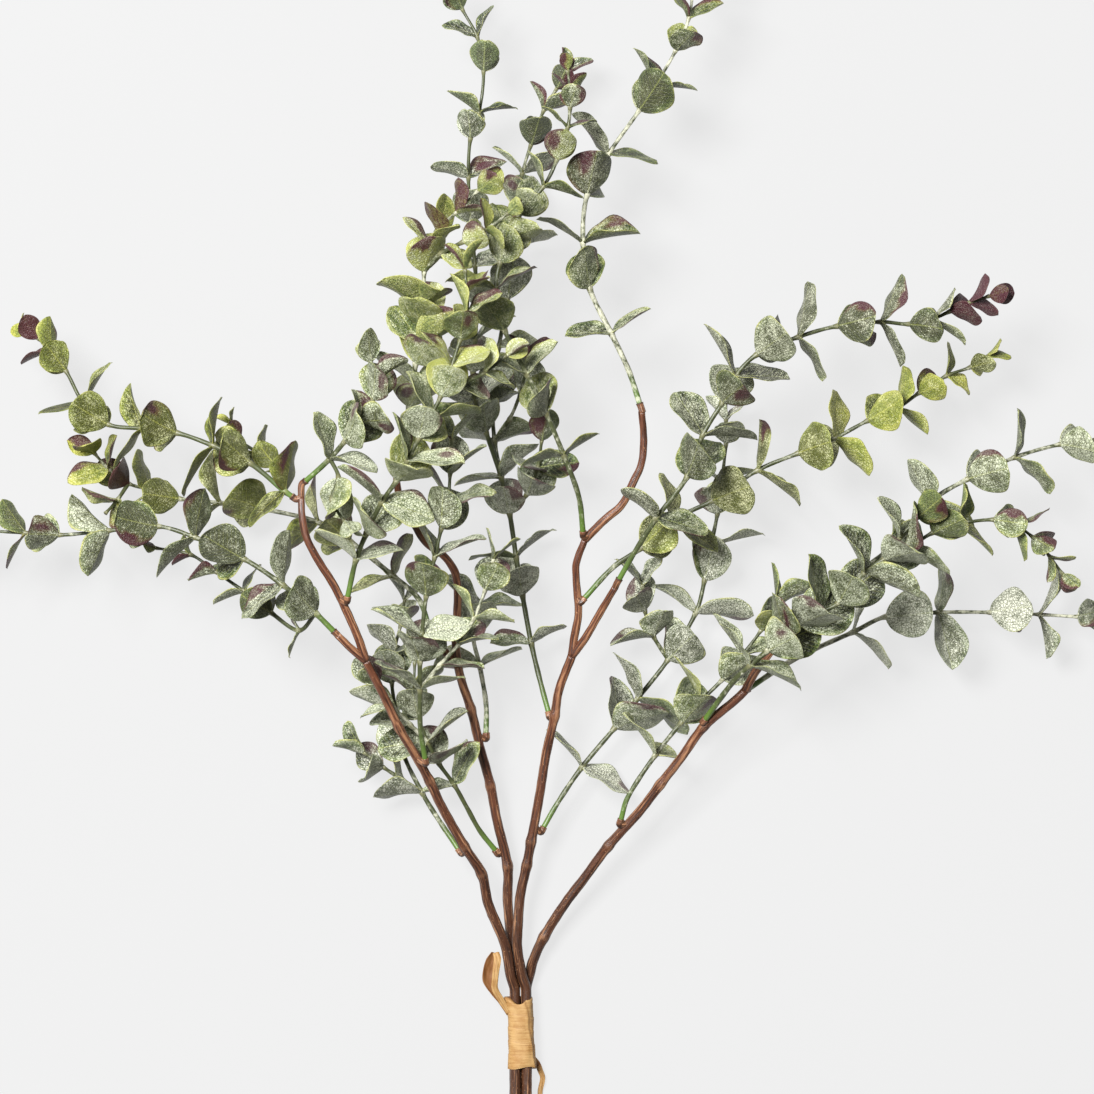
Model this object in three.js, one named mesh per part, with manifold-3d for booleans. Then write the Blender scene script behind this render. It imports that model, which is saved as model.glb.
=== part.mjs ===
import * as THREE from "three";
import Module from "manifold-3d";

const wasm = await Module();
wasm.setup();

// A tied bundle of four forked woody stems with green leafy sprays, laid on its back.
// Millimetres. X is to the right, Y runs from the cut ends to the leaf tips, Z is up from the surface.
// The origin is on the surface, under the middle of the raffia tie.

// Driving dimensions
const stemRadiusAtTie = 2.5;
const stemRadiusAtFork = 2;
const stemRadiusAtEnd = 1.6;
const stemSides = 6;
const knuckleSwell = 1.18;
const stubRadius = 1.75;
const stubSides = 5;
const stubStraight = 3;
const stubDepth = 0.8;
const buttGap = 0.3;

const twigRadiusAtFoot = 1.6;
const twigRadiusAtTip = 0.8;
const sideTwigRatio = 0.8;
const nodeHalf = 0.75;

const leafThickness = 0.7;
const leafBreadth = 0.9;
const tipLeafBreadth = 0.76;
const tipLeafRatio = 0.36;
const leafFoldDegrees = 13;
const leafRecurve = 0.09;
const smallLeaf = 26;
const budLeaf = 18;
const leafOpenDegrees = 68;
const tipOpenDegrees = 42;
const faceOpenDegrees = 44;
const turnJitterDegrees = 16;
const openJitterDegrees = 12;
const rollDegrees = 34;

const sampleStep = 2;
const sampleFrom = 3;
const leafReach = 1.4;
const roundReach = 0.4;
const ownReachRatio = 0.8;
const surfaceClearance = 0.6;
const cellSize = 5;

const bundleLow = 3.5;
const bundleHigh = 8.7;
const bundleHalf = 2.65;

const tieTop = 13.8;
const tieBottom = -19.8;
const tieHeight = 12.2;
const tieWall = 0.9;
const tieCorner = 2.2;
const tieInnerHalf = 5.25;
const tieInnerCorner = 1.2;
const ribbonThickness = 0.8;

// Stems: the first line is the trunk from its cut end up, the others leave from its last point.
const stems = [
  {
    name: "stem_left",
    lines: [
      [[-bundleHalf, -86, bundleHigh], [-bundleHalf, 17, bundleHigh], [-4.6, 24, 10.2], [-7, 38, 12],
        [-15, 58, 16], [-18, 72, 20], [-26, 85, 25], [-37, 105, 32], [-42, 116, 36], [-49, 129, 41],
        [-56, 141, 46], [-62, 154, 50], [-71, 172, 56]],
      [[-71, 172, 56], [-75, 184, 59], [-85, 206, 64], [-93, 219, 66], [-98, 229, 67], [-100, 239, 67],
        [-100.4, 247.5, 66]],
      [[-71, 172, 56], [-78, 178, 58], [-84, 184, 60]],
    ],
    knuckles: [5, 6, 8, 10],
  },
  {
    name: "stem_middle_left",
    lines: [
      [[-bundleHalf, -81, bundleLow], [-bundleHalf, 17, bundleLow], [-2, 24, 4], [-4, 38, 4.6], [-6, 59, 7],
        [-6, 75, 9], [-11, 97, 12], [-14, 113, 15], [-19, 132, 19], [-23, 149, 22], [-27, 161, 25],
        [-29, 169, 27]],
      [[-29, 169, 27], [-30, 181, 30], [-29, 200, 34], [-30, 212, 37], [-35, 220, 39], [-44, 227, 41],
        [-50, 237, 44], [-56, 249, 46], [-57, 260, 48], [-55, 272, 51]],
      [[-29, 169, 27], [-36, 177, 28], [-40, 182, 29]],
    ],
    knuckles: [5, 7, 9],
  },
  {
    name: "stem_middle_right",
    lines: [
      [[bundleHalf, -83, bundleHigh], [bundleHalf, 17, bundleHigh], [0.7, 24, 9.4], [-1.5, 38, 11],
        [-1, 50, 12], [0, 62, 13], [3, 76, 15], [5, 87, 17], [9, 109, 20], [12, 128, 23], [16, 146, 27],
        [18, 158, 29], [24, 174, 33]],
      [[24, 174, 33], [25, 182, 34], [27, 194, 37], [26, 209, 39], [26, 217, 41], [30, 228, 43]],
      [[24, 174, 33], [30, 182, 36], [37, 194, 40], [44, 206, 45]],
      [[30, 228, 43], [39, 237, 46], [47, 244, 48], [52, 254, 50], [56, 263, 51], [57, 275, 52],
        [56, 287, 54]],
    ],
    knuckles: [6, 7, 10],
  },
  {
    name: "stem_right",
    lines: [
      [[bundleHalf, -88, bundleLow], [bundleHalf, 17, bundleLow], [4.2, 24, 4.2], [6, 31, 6], [11, 42, 8],
        [21, 58, 12], [30, 70, 15], [41, 85, 19], [56, 102, 24], [65, 114, 28], [75, 127, 32], [85, 141, 36],
        [100, 154, 42], [104, 158, 43]],
      [[104, 158, 43], [109, 167, 46], [118, 179, 50], [128, 191, 54], [140, 199, 56]],
    ],
    knuckles: [4, 7, 9, 11],
  },
];

// Sprays, the ones nearest the top of the pile first. Each point of a line is a leaf node, but for the first
// "bare" ones. A pair of leaves stands a quarter turn from the pair before it, and "turn" sets the first.
const sprays = [
  {
    name: "spray_centre_front", stem: 0, tint: "sage", lines: [
      { bare: 1, turn: 0, leaf: 26, tip: 0.6, route: [[-79, 202, 66], [-75, 219, 71], [-70, 231, 77],
        [-63, 245, 82], [-56, 255, 86], [-51, 264, 88], [-46, 274, 89], [-41, 283, 90], [-36, 293, 91],
        [-31, 307, 92], [-27, 319, 92], [-24, 331, 92], [-24, 341, 92], [-25, 351, 92]] },
      { bare: 1, turn: 90, leaf: 19, tip: 0.6, route: [[-36, 293, 91], [-27, 298, 87], [-16, 304, 83],
        [-6, 312, 80]] },
    ],
  },
  {
    name: "spray_front_low", stem: 0, tint: "sage", lines: [
      { bare: 2, turn: 0, leaf: 26, tip: 0.8, route: [[-44, 127, 45], [-46, 141, 52], [-46, 159, 58],
        [-46, 172, 61], [-45, 184, 64], [-43, 202, 67], [-39, 220, 69], [-36, 233, 70], [-33, 245, 70],
        [-32, 258, 70], [-31, 274, 70]] },
      { bare: 1, turn: 0, leaf: 22, tip: 0.7, route: [[-46, 159, 58], [-37, 170, 60], [-28, 180, 62],
        [-21, 192, 64], [-16, 205, 65], [-12, 219, 66]] },
    ],
  },
  {
    name: "spray_left_crown", stem: 0, tint: "sage", lines: [
      { bare: 1, turn: 0, leaf: 25, tip: 0.6, route: [[-98, 255, 67], [-87, 265, 71], [-80, 273, 74],
        [-72, 282, 77], [-67, 292, 79], [-66, 301, 80], [-68, 309, 80]] },
      { bare: 1, turn: 90, leaf: 22, tip: 0.6, route: [[-87, 265, 71], [-83, 256, 76], [-86, 246, 79],
        [-80, 236, 81]] },
    ],
  },
  {
    name: "spray_right_front", stem: 3, tint: "sage", lines: [
      { bare: 2, turn: 0, leaf: 28, route: [[86, 145, 40], [98, 162, 54], [106, 170, 60], [114, 177, 64],
        [121, 183, 67], [128, 189, 69], [137, 194, 71], [146, 199, 72], [158, 213, 74], [167, 219, 75],
        [176, 223, 75], [189, 231, 75], [201, 235, 74], [217, 237, 73], [226, 235, 72], [235, 229, 71],
        [243, 220, 70], [249, 212, 69]] },
      { bare: 1, turn: 0, leaf: 23, tip: 0.8, route: [[167, 219, 75], [174, 229, 79], [182, 238, 80]] },
    ],
  },
  {
    name: "spray_crown_dark", stem: 2, tint: "dark", lines: [
      { bare: 2, turn: 0, leaf: 23, route: [[29, 232, 46], [27, 248, 52], [20, 267, 57], [12, 286, 61],
        [3, 304, 66], [-7, 324, 69], [-11, 343, 70], [-9, 355, 70], [-5, 366, 70], [0, 377, 70],
        [11, 390, 70], [17, 402, 70], [22, 417, 71], [23, 426, 72], [23, 433, 72], [22, 443, 72]] },
    ],
  },
  {
    name: "spray_crown_left", stem: 1, tint: "sage", lines: [
      { bare: 1, turn: 90, leaf: 26, tip: 0.55, route: [[-54, 277, 52], [-51, 289, 55], [-49, 300, 58],
        [-48, 309, 60], [-46, 317, 61], [-45, 326, 62], [-44, 336, 63], [-44, 351, 64], [-42, 361, 65],
        [-38, 370, 66], [-29, 378, 69], [-19, 388, 72]] },
      { bare: 1, turn: 0, leaf: 17, tip: 0.6, route: [[-44, 351, 64], [-36, 359, 72], [-26, 364, 77],
        [-15, 370, 80], [-5, 377, 82]] },
    ],
  },
  {
    name: "spray_left_high", stem: 0, tint: "bright", lines: [
      { bare: 1, turn: 0, leaf: 26, route: [[-105, 248, 66], [-108, 250, 66], [-124, 263, 66],
        [-141, 271, 64], [-158, 277, 60], [-174, 279, 57], [-190, 281, 54], [-201, 290, 50], [-210, 306, 46],
        [-217, 315, 43], [-223, 321, 40], [-228, 324, 39]] },
      { bare: 1, turn: 90, leaf: 15, route: [[-108, 250, 66], [-113, 262, 52], [-121, 268, 46],
        [-130, 274, 42], [-134, 282, 40]] },
    ],
  },
  {
    name: "spray_left_low", stem: 0, tint: "sage", lines: [
      { bare: 1, turn: 90, leaf: 26, tip: 0.6, route: [[-86, 186, 60], [-94, 194, 61], [-109, 207, 62],
        [-127, 219, 60], [-150, 229, 56], [-167, 234, 53], [-190, 232, 50], [-213, 230, 47], [-229, 231, 45],
        [-244, 232, 43], [-256, 234, 42], [-264, 237, 41]] },
      { bare: 1, turn: 0, leaf: 16, route: [[-94, 194, 61], [-102, 186, 52], [-115, 194, 45], [-128, 204, 41],
        [-141, 213, 38], [-153, 221, 36], [-169, 224, 35]] },
    ],
  },
  {
    name: "spray_right_high", stem: 2, tint: "dark", lines: [
      { bare: 2, turn: 0, leaf: 27, tip: 0.45, route: [[46, 210, 47], [54, 224, 52], [63, 238, 57],
        [77, 257, 61], [84, 276, 64], [93, 291, 65], [99, 303, 65], [109, 313, 65], [128, 321, 64],
        [146, 326, 63], [166, 328, 61], [179, 327, 60], [189, 329, 59], [198, 333, 59], [207, 337, 59],
        [216, 340, 59]] },
    ],
  },
  {
    name: "spray_top_right", stem: 2, tint: "dark", lines: [
      { bare: 2, turn: 0, leaf: 25, tip: 0.5, route: [[55, 291, 54], [50, 306, 54], [42, 323, 54],
        [32, 344, 53], [29, 365, 52], [31, 387, 51], [41, 406, 50], [55, 426, 50], [62, 437, 50],
        [72, 454, 49], [78, 469, 48], [80, 483, 47], [82, 495, 46]] },
    ],
  },
  {
    name: "spray_far_right_high", stem: 3, tint: "sage", lines: [
      { bare: 2, turn: 90, leaf: 25, tip: 0.6, route: [[143, 201, 56], [158, 214, 54], [172, 225, 52],
        [189, 245, 49], [207, 256, 46], [229, 266, 44], [250, 272, 42], [266, 274, 41], [280, 274, 40],
        [292, 276, 39]] },
    ],
  },
  {
    name: "spray_right_bright", stem: 2, tint: "bright", lines: [
      { bare: 2, turn: 90, leaf: 26, route: [[30, 201, 39], [43, 215, 38], [56, 224, 37], [71, 237, 37],
        [89, 246, 37], [110, 260, 38], [129, 268, 39], [146, 275, 39], [161, 283, 39], [175, 289, 38],
        [185, 296, 37], [198, 304, 36], [209, 308, 35], [217, 313, 35]] },
    ],
  },
  {
    name: "spray_fork_short", stem: 3, tint: "sage", lines: [
      { bare: 2, turn: 0, leaf: 26, tip: 0.75, route: [[47, 98, 24], [50, 108, 26], [63, 128, 28],
        [75, 143, 29], [84, 153, 30], [94, 163, 30], [103, 174, 30], [112, 186, 31], [119, 198, 32]] },
    ],
  },
  {
    name: "spray_back_mid", stem: 1, tint: "sage", lines: [
      { bare: 3, turn: 0, leaf: 24, tip: 0.6, route: [[-12, 83, 10], [-19, 92, 13], [-25, 103, 17],
        [-31, 114, 22], [-38, 124, 27], [-43, 134, 30], [-47, 145, 32], [-49, 157, 33], [-49, 171, 33]] },
      { bare: 1, turn: 90, leaf: 19, tip: 0.8, route: [[-43, 134, 30], [-51, 142, 36], [-59, 151, 40],
        [-66, 161, 42]] },
    ],
  },
  {
    name: "spray_left_middle", stem: 1, tint: "bright", lines: [
      { bare: 2, turn: 0, leaf: 25, tip: 0.68, route: [[-42, 185, 29], [-47, 200, 31], [-59, 211, 32],
        [-79, 227, 30], [-94, 236, 27], [-119, 242, 24], [-140, 245, 22], [-159, 247, 22], [-172, 251, 25],
        [-182, 254, 31], [-191, 261, 38], [-197, 268, 45]] },
      { bare: 1, turn: 0, leaf: 18, tip: 0.8, route: [[-182, 254, 31], [-187, 246, 36], [-192, 240, 41]] },
    ],
  },
  {
    name: "spray_back_tall", stem: 2, tint: "frosted", lines: [
      { bare: 2, turn: 0, leaf: 23, tip: 0.6, route: [[13, 148, 25], [9, 163, 22], [5, 180, 20], [1, 202, 19],
        [-2, 220, 19], [-5, 240, 20], [-9, 257, 21], [-16, 278, 23], [-21, 293, 26], [-22, 306, 29],
        [-21, 321, 31], [-20, 337, 33], [-21, 355, 35], [-23, 375, 36], [-24, 396, 37], [-23, 414, 38],
        [-19, 426, 38], [-17, 445, 38], [-20, 461, 38], [-27, 474, 37], [-33, 487, 36], [-36, 500, 36]] },
      { bare: 1, turn: 0, leaf: 23, tip: 0.5, route: [[-9, 257, 21], [-12, 274, 19], [-13, 292, 18],
        [-10, 318, 18], [-6, 340, 18], [-5, 363, 18], [-2, 383, 19], [1, 399, 20], [5, 412, 21],
        [11, 428, 22], [17, 438, 23], [22, 446, 24]] },
      { bare: 1, turn: 90, leaf: 22, tip: 0.7, route: [[-5, 240, 20], [3, 249, 25], [8, 261, 29],
        [10, 274, 32]] },
      { bare: 1, turn: 0, leaf: 23, tip: 0.7, route: [[-12, 274, 19], [-5, 284, 24], [0, 296, 28],
        [3, 308, 31]] },
    ],
  },
  {
    name: "spray_far_right_low", stem: 3, tint: "frosted", lines: [
      { bare: 3, turn: 0, leaf: 26, tip: 0.6, route: [[106, 159, 40], [123, 170, 33], [139, 178, 29],
        [155, 185, 26], [170, 192, 24], [195, 194, 22], [219, 194, 21], [242, 193, 20], [260, 192, 20],
        [275, 192, 19], [288, 193, 19]] },
    ],
  },
  {
    name: "spray_back_low", stem: 0, tint: "frosted", lines: [
      { bare: 2, turn: 0, leaf: 24, tip: 0.6, route: [[-29, 84, 21], [-38, 97, 17], [-46, 110, 16],
        [-55, 129, 15], [-58, 147, 15], [-60, 161, 15], [-59, 175, 14], [-56, 188, 14], [-54, 200, 14]] },
      { bare: 1, turn: 0, leaf: 19, tip: 0.8, route: [[-46, 110, 16], [-55, 116, 20], [-64, 122, 22],
        [-73, 129, 24]] },
    ],
  },
  {
    name: "spray_right_low", stem: 2, tint: "frosted", lines: [
      { bare: 2, turn: 0, leaf: 27, route: [[11, 94, 16], [18, 106, 15], [29, 122, 15], [44, 140, 15],
        [55, 154, 15], [69, 172, 15], [82, 194, 15], [86, 209, 15], [89, 225, 15], [92, 240, 15],
        [94, 255, 15], [96, 273, 15], [96, 284, 15], [96, 293, 15]] },
      { bare: 1, turn: 0, leaf: 21, tip: 0.7, route: [[69, 172, 15], [62, 183, 18], [58, 195, 20],
        [57, 207, 21]] },
    ],
  },
  {
    name: "spray_back_short", stem: 1, tint: "frosted", lines: [
      { bare: 2, turn: 0, leaf: 23, tip: 0.7, route: [[-16, 138, 18], [-16, 151, 17], [-19, 169, 15],
        [-22, 183, 14], [-19, 197, 14], [-14, 209, 14]] },
    ],
  },
];

const looks = {
  bark: { colour: "#6b3d2a", roughness: 0.42 },
  raffia: { colour: "#d9ae6c", roughness: 0.7 },
  sage: { colour: "#7e8f74", roughness: 0.62 },
  bright: { colour: "#8aa05a", roughness: 0.58 },
  dark: { colour: "#65775c", roughness: 0.6 },
  frosted: { colour: "#93a18b", roughness: 0.68 },
};

const up = new THREE.Vector3(0, 0, 1);
const toVector = (place) => new THREE.Vector3(...place);
const radians = (degrees) => degrees * Math.PI / 180;
const mix = (a, b, share) => a + (b - a) * share;

// Closed triangle lists

function solidFrom(points, triangles) {
  const mesh = new wasm.Mesh({
    numProp: 3,
    vertProperties: new Float32Array(points.flatMap((p) => [p.x, p.y, p.z])),
    triVerts: new Uint32Array(triangles.flat()),
  });
  return new wasm.Manifold(mesh);
}

function joinRings(rings) {
  const sides = rings[0].length;
  const triangles = [];
  for (let ring = 0; ring + 1 < rings.length; ring += 1) {
    for (let side = 0; side < sides; side += 1) {
      const next = (side + 1) % sides;
      const a = ring * sides + side;
      const b = ring * sides + next;
      triangles.push([a, b, b + sides], [a, b + sides, a + sides]);
    }
  }
  const last = (rings.length - 1) * sides;
  for (let side = 1; side + 1 < sides; side += 1) {
    triangles.push([0, side + 1, side], [last, last + side, last + side + 1]);
  }
  return solidFrom(rings.flat(), triangles);
}

function tangentAt(route, index) {
  const before = route[Math.max(index - 1, 0)];
  const after = route[Math.min(index + 1, route.length - 1)];
  return after.clone().sub(before).normalize();
}

// A round rod through the points, with a flat cap square to the rod at each end
function rod(route, radii, sides) {
  let side = tangentAt(route, 0).cross(up);
  if (side.length() < 0.1) side = new THREE.Vector3(1, 0, 0);
  const rings = route.map((centre, index) => {
    const along = tangentAt(route, index);
    side = side.sub(along.clone().multiplyScalar(side.dot(along))).normalize();
    const over = along.clone().cross(side);
    const ring = [];
    for (let step = 0; step < sides; step += 1) {
      const angle = 2 * Math.PI * step / sides;
      ring.push(centre.clone()
        .addScaledVector(side, radii[index] * Math.cos(angle))
        .addScaledVector(over, radii[index] * Math.sin(angle)));
    }
    return ring;
  });
  return joinRings(rings);
}

// A flat strip through the points; tilt turns its width from level towards upright
function strip(route, widths, tiltDegrees) {
  const rings = route.map((centre, index) => {
    const along = tangentAt(route, index);
    const level = along.clone().cross(up).normalize();
    const tilt = radians(tiltDegrees[index]);
    const across = level.multiplyScalar(Math.cos(tilt)).addScaledVector(up, Math.sin(tilt));
    across.addScaledVector(along, -across.dot(along)).normalize();
    const through = along.clone().cross(across);
    const corners = [[-1, -1], [1, -1], [1, 1], [-1, 1]];
    return corners.map(([w, t]) => centre.clone()
      .addScaledVector(across, w * widths[index] / 2)
      .addScaledVector(through, t * ribbonThickness / 2));
  });
  return joinRings(rings);
}

function meshOf(solid, name, look) {
  const found = solid.getMesh();
  const geometry = new THREE.BufferGeometry();
  geometry.setAttribute("position", new THREE.BufferAttribute(new Float32Array(found.vertProperties), 3));
  geometry.setIndex(new THREE.BufferAttribute(new Uint32Array(found.triVerts), 1));
  const material = new THREE.MeshStandardMaterial({
    color: looks[look].colour,
    roughness: looks[look].roughness,
    metalness: 0,
  });
  const mesh = new THREE.Mesh(geometry, material);
  mesh.name = name;
  return mesh;
}

// Which room is taken: rods and leaves leave round marks, sorted into cells

const taken = new Map();

function cellName(x, y, z) {
  return x + "," + y + "," + z;
}

function takeRoom(place, reach, owner, isLeaf) {
  const name = cellName(...place.toArray().map((value) => Math.floor(value / cellSize)));
  if (!taken.has(name)) taken.set(name, []);
  taken.get(name).push({ place, reach, owner, isLeaf });
}

function isFree(place, owner) {
  if (place.z < surfaceClearance) return false;
  const [cx, cy, cz] = place.toArray().map((value) => Math.floor(value / cellSize));
  for (let x = cx - 1; x <= cx + 1; x += 1) {
    for (let y = cy - 1; y <= cy + 1; y += 1) {
      for (let z = cz - 1; z <= cz + 1; z += 1) {
        for (const mark of taken.get(cellName(x, y, z)) ?? []) {
          const own = mark.owner === owner;
          if (own && !mark.isLeaf) continue;
          const apart = (leafReach + mark.reach) * (own ? ownReachRatio : 1);
          if (place.distanceToSquared(mark.place) < apart * apart) return false;
        }
      }
    }
  }
  return true;
}

function markRod(route, radii, owner) {
  for (let index = 0; index + 1 < route.length; index += 1) {
    const steps = Math.ceil(route[index].distanceTo(route[index + 1]) / sampleStep);
    for (let step = 0; step <= steps; step += 1) {
      const place = route[index].clone().lerp(route[index + 1], step / steps);
      takeRoom(place, mix(radii[index], radii[index + 1], step / steps) + roundReach, owner, false);
    }
  }
}

// Brown stems

function stemRadii(line, route, knuckles) {
  const first = line === 0 ? stemRadiusAtTie : stemRadiusAtFork;
  const last = line === 0 ? stemRadiusAtFork : stemRadiusAtEnd;
  return route.map((place, index) => {
    const plain = mix(first, last, index / (route.length - 1));
    return line === 0 && knuckles.includes(index) ? plain * knuckleSwell : plain;
  });
}

function nearestOn(lines, place) {
  let best = null;
  for (const route of lines) {
    for (let index = 0; index + 1 < route.length; index += 1) {
      const edge = new THREE.Line3(route[index], route[index + 1]);
      const found = edge.closestPointToPoint(place, true, new THREE.Vector3());
      if (!best || found.distanceTo(place) < best.distanceTo(place)) best = found;
    }
  }
  return best;
}

// The short stub of bark that a spray is pushed on to: it starts inside the stem and ends square to the
// spray's first stretch
function stubRoute(lines, spray) {
  const foot = toVector(spray.lines[0].route[0]);
  const ahead = toVector(spray.lines[0].route[1]).sub(foot).normalize();
  const near = nearestOn(lines, foot);
  const bend = foot.clone().addScaledVector(ahead, -stubStraight);
  const end = foot.clone().addScaledVector(ahead, -buttGap / 2);
  const route = near.distanceTo(bend) > stubStraight / 2 ? [near, bend, end] : [bend, end];
  route[0].addScaledVector(route[0].clone().sub(route[1]).normalize(), stubDepth);
  return route;
}

const stemRoutes = stems.map((stem) => stem.lines.map((line) => line.map(toVector)));

stems.forEach((stem, number) => {
  stemRoutes[number].forEach((route, line) => {
    markRod(route, stemRadii(line, route, stem.knuckles), stem.name);
  });
});

function buildStem(stem, number) {
  const lines = stemRoutes[number];
  const pieces = lines.map((route, line) => rod(route, stemRadii(line, route, stem.knuckles), stemSides));
  for (const spray of sprays.filter((one) => one.stem === number)) {
    const route = stubRoute(lines, spray);
    pieces.push(rod(route, route.map(() => stubRadius), stubSides));
  }
  return meshOf(wasm.Manifold.union(pieces), stem.name, "bark");
}

// Green twigs

function twigRoute(line, isSide) {
  const route = line.route.map(toVector);
  if (!isSide) {
    const ahead = route[1].clone().sub(route[0]).normalize();
    route[0].addScaledVector(ahead, buttGap / 2);
  }
  return route;
}

function twigRadii(route, isSide) {
  const foot = isSide ? twigRadiusAtFoot * sideTwigRatio : twigRadiusAtFoot;
  return route.map((place, index) => mix(foot, twigRadiusAtTip, index / (route.length - 1)));
}

for (const spray of sprays) {
  spray.lines.forEach((line, number) => {
    const route = twigRoute(line, number > 0);
    markRod(route, twigRadii(route, number > 0), spray.name);
  });
}

// Leaves: a short-pointed oval blade, folded up along its midrib, its tip bent back

let drawn = 20;

function draw(low, high) {
  drawn = (drawn * 1664525 + 1013904223) % 4294967296;
  return low + (high - low) * drawn / 4294967296;
}

function leafFrame(node, along, turn, open, roll) {
  const side = along.clone().cross(up).normalize();
  const front = side.clone().cross(along);
  const out = side.multiplyScalar(Math.cos(turn)).addScaledVector(front, Math.sin(turn));
  const length = out.clone().multiplyScalar(Math.sin(open)).addScaledVector(along, Math.cos(open));
  const normal = along.clone().multiplyScalar(Math.sin(open)).addScaledVector(out, -Math.cos(open));
  const width = length.clone().cross(normal);
  return {
    node,
    length,
    normal: normal.clone().multiplyScalar(Math.cos(roll)).addScaledVector(width, Math.sin(roll)),
    width: width.clone().multiplyScalar(Math.cos(roll)).addScaledVector(normal, -Math.sin(roll)),
  };
}

// A point of the blade: share runs from the root to the tip, across is in millimetres from the midrib
function bladePoint(frame, size, share, across) {
  const rise = Math.abs(across) * Math.tan(radians(leafFoldDegrees)) - leafRecurve * size * share * share;
  return frame.node.clone()
    .addScaledVector(frame.length, size * share)
    .addScaledVector(frame.width, across)
    .addScaledVector(frame.normal, rise);
}

const broadOutline = [[0.2, 0.34], [0.5, 0.5], [0.8, 0.37], [1, 0]];
const smallOutline = [[0.33, 0.45], [0.74, 0.4], [1, 0]];
const budOutline = [[0.52, 0.48], [1, 0]];

function outlineFor(size) {
  if (size < budLeaf) return budOutline;
  return size < smallLeaf ? smallOutline : broadOutline;
}

function halfBreadth(share, breadth) {
  const edge = [[0, 0], ...broadOutline];
  const after = Math.max(edge.findIndex(([along]) => along >= share), 1);
  const [a, b] = [edge[after - 1], edge[after]];
  return mix(a[1], b[1], (share - a[0]) / (b[0] - a[0])) * breadth;
}

function leafMarks(frame, size, breadth) {
  const marks = [];
  for (let reach = sampleFrom; reach < size + sampleStep; reach += sampleStep) {
    const share = Math.min(reach / size, 1);
    const half = halfBreadth(share, breadth);
    const steps = Math.max(Math.ceil(2 * half / sampleStep), 1);
    for (let step = 0; step <= steps; step += 1) {
      marks.push(bladePoint(frame, size, share, mix(-half, half, step / steps)));
    }
  }
  return marks;
}

// Adds a blade to the list in place of one facet of its twig, whose corners are the blade's root
function addBlade(points, triangles, leaf, root) {
  const half = outlineFor(leaf.size);
  const left = half.slice(0, -1).reverse().map(([along, across]) => [along, -across]);
  const outline = [...half, ...left];
  const faces = [1, -1].map((face, layer) => {
    const edge = outline.map(([along, across]) => {
      const place = bladePoint(leaf.frame, leaf.size, along, across * leaf.breadth);
      points.push(place.addScaledVector(leaf.frame.normal, face * leafThickness / 2));
      return points.length - 1;
    });
    return [root[layer][0], ...edge, root[layer][1]];
  });
  const [top, under] = faces;
  const count = top.length;
  for (let step = 1; step + 1 < count; step += 1) {
    const here = (half.length + step) % count;
    const next = (here + 1) % count;
    triangles.push([top[half.length], top[here], top[next]]);
    triangles.push([under[half.length], under[next], under[here]]);
  }
  for (let index = 0; index + 1 < count; index += 1) {
    const next = index + 1;
    triangles.push([top[index], under[index], under[next]], [top[index], under[next], top[next]]);
  }
}

// How long a leaf is by its place on the twig: full a little above the foot, small at the tip
function growth(share, tip) {
  if (share < 0.15) return mix(0.84, 1, share / 0.15);
  if (share < 0.5) return mix(1, 0.95, (share - 0.15) / 0.35);
  return mix(0.95, tip, (share - 0.5) / 0.5);
}

const sizeTries = [1, 0.86, 0.72];
const turnTries = [0, 14, -14, 28, -28, 42, -42, 56, -56];
const openTries = [0, -14, 12];

// A leaf that would touch another is turned round its twig, opened or closed, and at last made smaller
function placeLeaf(owner, wanted) {
  for (const scale of sizeTries) {
    for (const turn of turnTries) {
      for (const open of openTries) {
        const frame = leafFrame(wanted.node, wanted.along, radians(wanted.turn + turn),
          radians(wanted.open + open), radians(wanted.roll));
        const size = wanted.size * scale;
        const marks = leafMarks(frame, size, size * wanted.breadth);
        if (marks.every((place) => isFree(place, owner))) {
          return { frame, size, breadth: size * wanted.breadth, marks };
        }
      }
    }
  }
  return null;
}

// Facets are numbered the other way round the twig from a leaf's turn
function facetAt(turnDegrees) {
  return (4 - (turnDegrees / 90) % 4) % 4;
}

function leavesOf(line, owner) {
  const route = line.route.map(toVector);
  const pairs = new Map();
  for (let index = line.bare; index < route.length; index += 1) {
    const share = (index - line.bare + 0.5) / (route.length - line.bare);
    const pairTurn = line.turn + 90 * (index - line.bare);
    const facing = pairTurn % 180 !== 0;
    const isTip = index === route.length - 1;
    const open = isTip ? tipOpenDegrees * 0.7
      : mix(facing ? faceOpenDegrees : leafOpenDegrees, tipOpenDegrees, share * share);
    const pair = [];
    for (const half of [0, 180]) {
      const wanted = {
        node: route[index],
        along: tangentAt(route, index),
        turn: pairTurn + half + draw(-turnJitterDegrees, turnJitterDegrees),
        open: open + draw(-openJitterDegrees, openJitterDegrees),
        roll: draw(-rollDegrees, rollDegrees),
        size: line.leaf * growth(share, line.tip ?? tipLeafRatio) * draw(0.88, 1.08),
        breadth: mix(leafBreadth, tipLeafBreadth, share) * draw(0.93, 1.05),
      };
      const leaf = placeLeaf(owner, wanted);
      if (leaf) pair.push({ ...leaf, facet: facetAt(pairTurn + half) });
    }
    for (const leaf of pair) {
      leaf.marks.forEach((place) => takeRoom(place, leafReach, owner, true));
    }
    pairs.set(index, pair);
  }
  return pairs;
}

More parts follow.
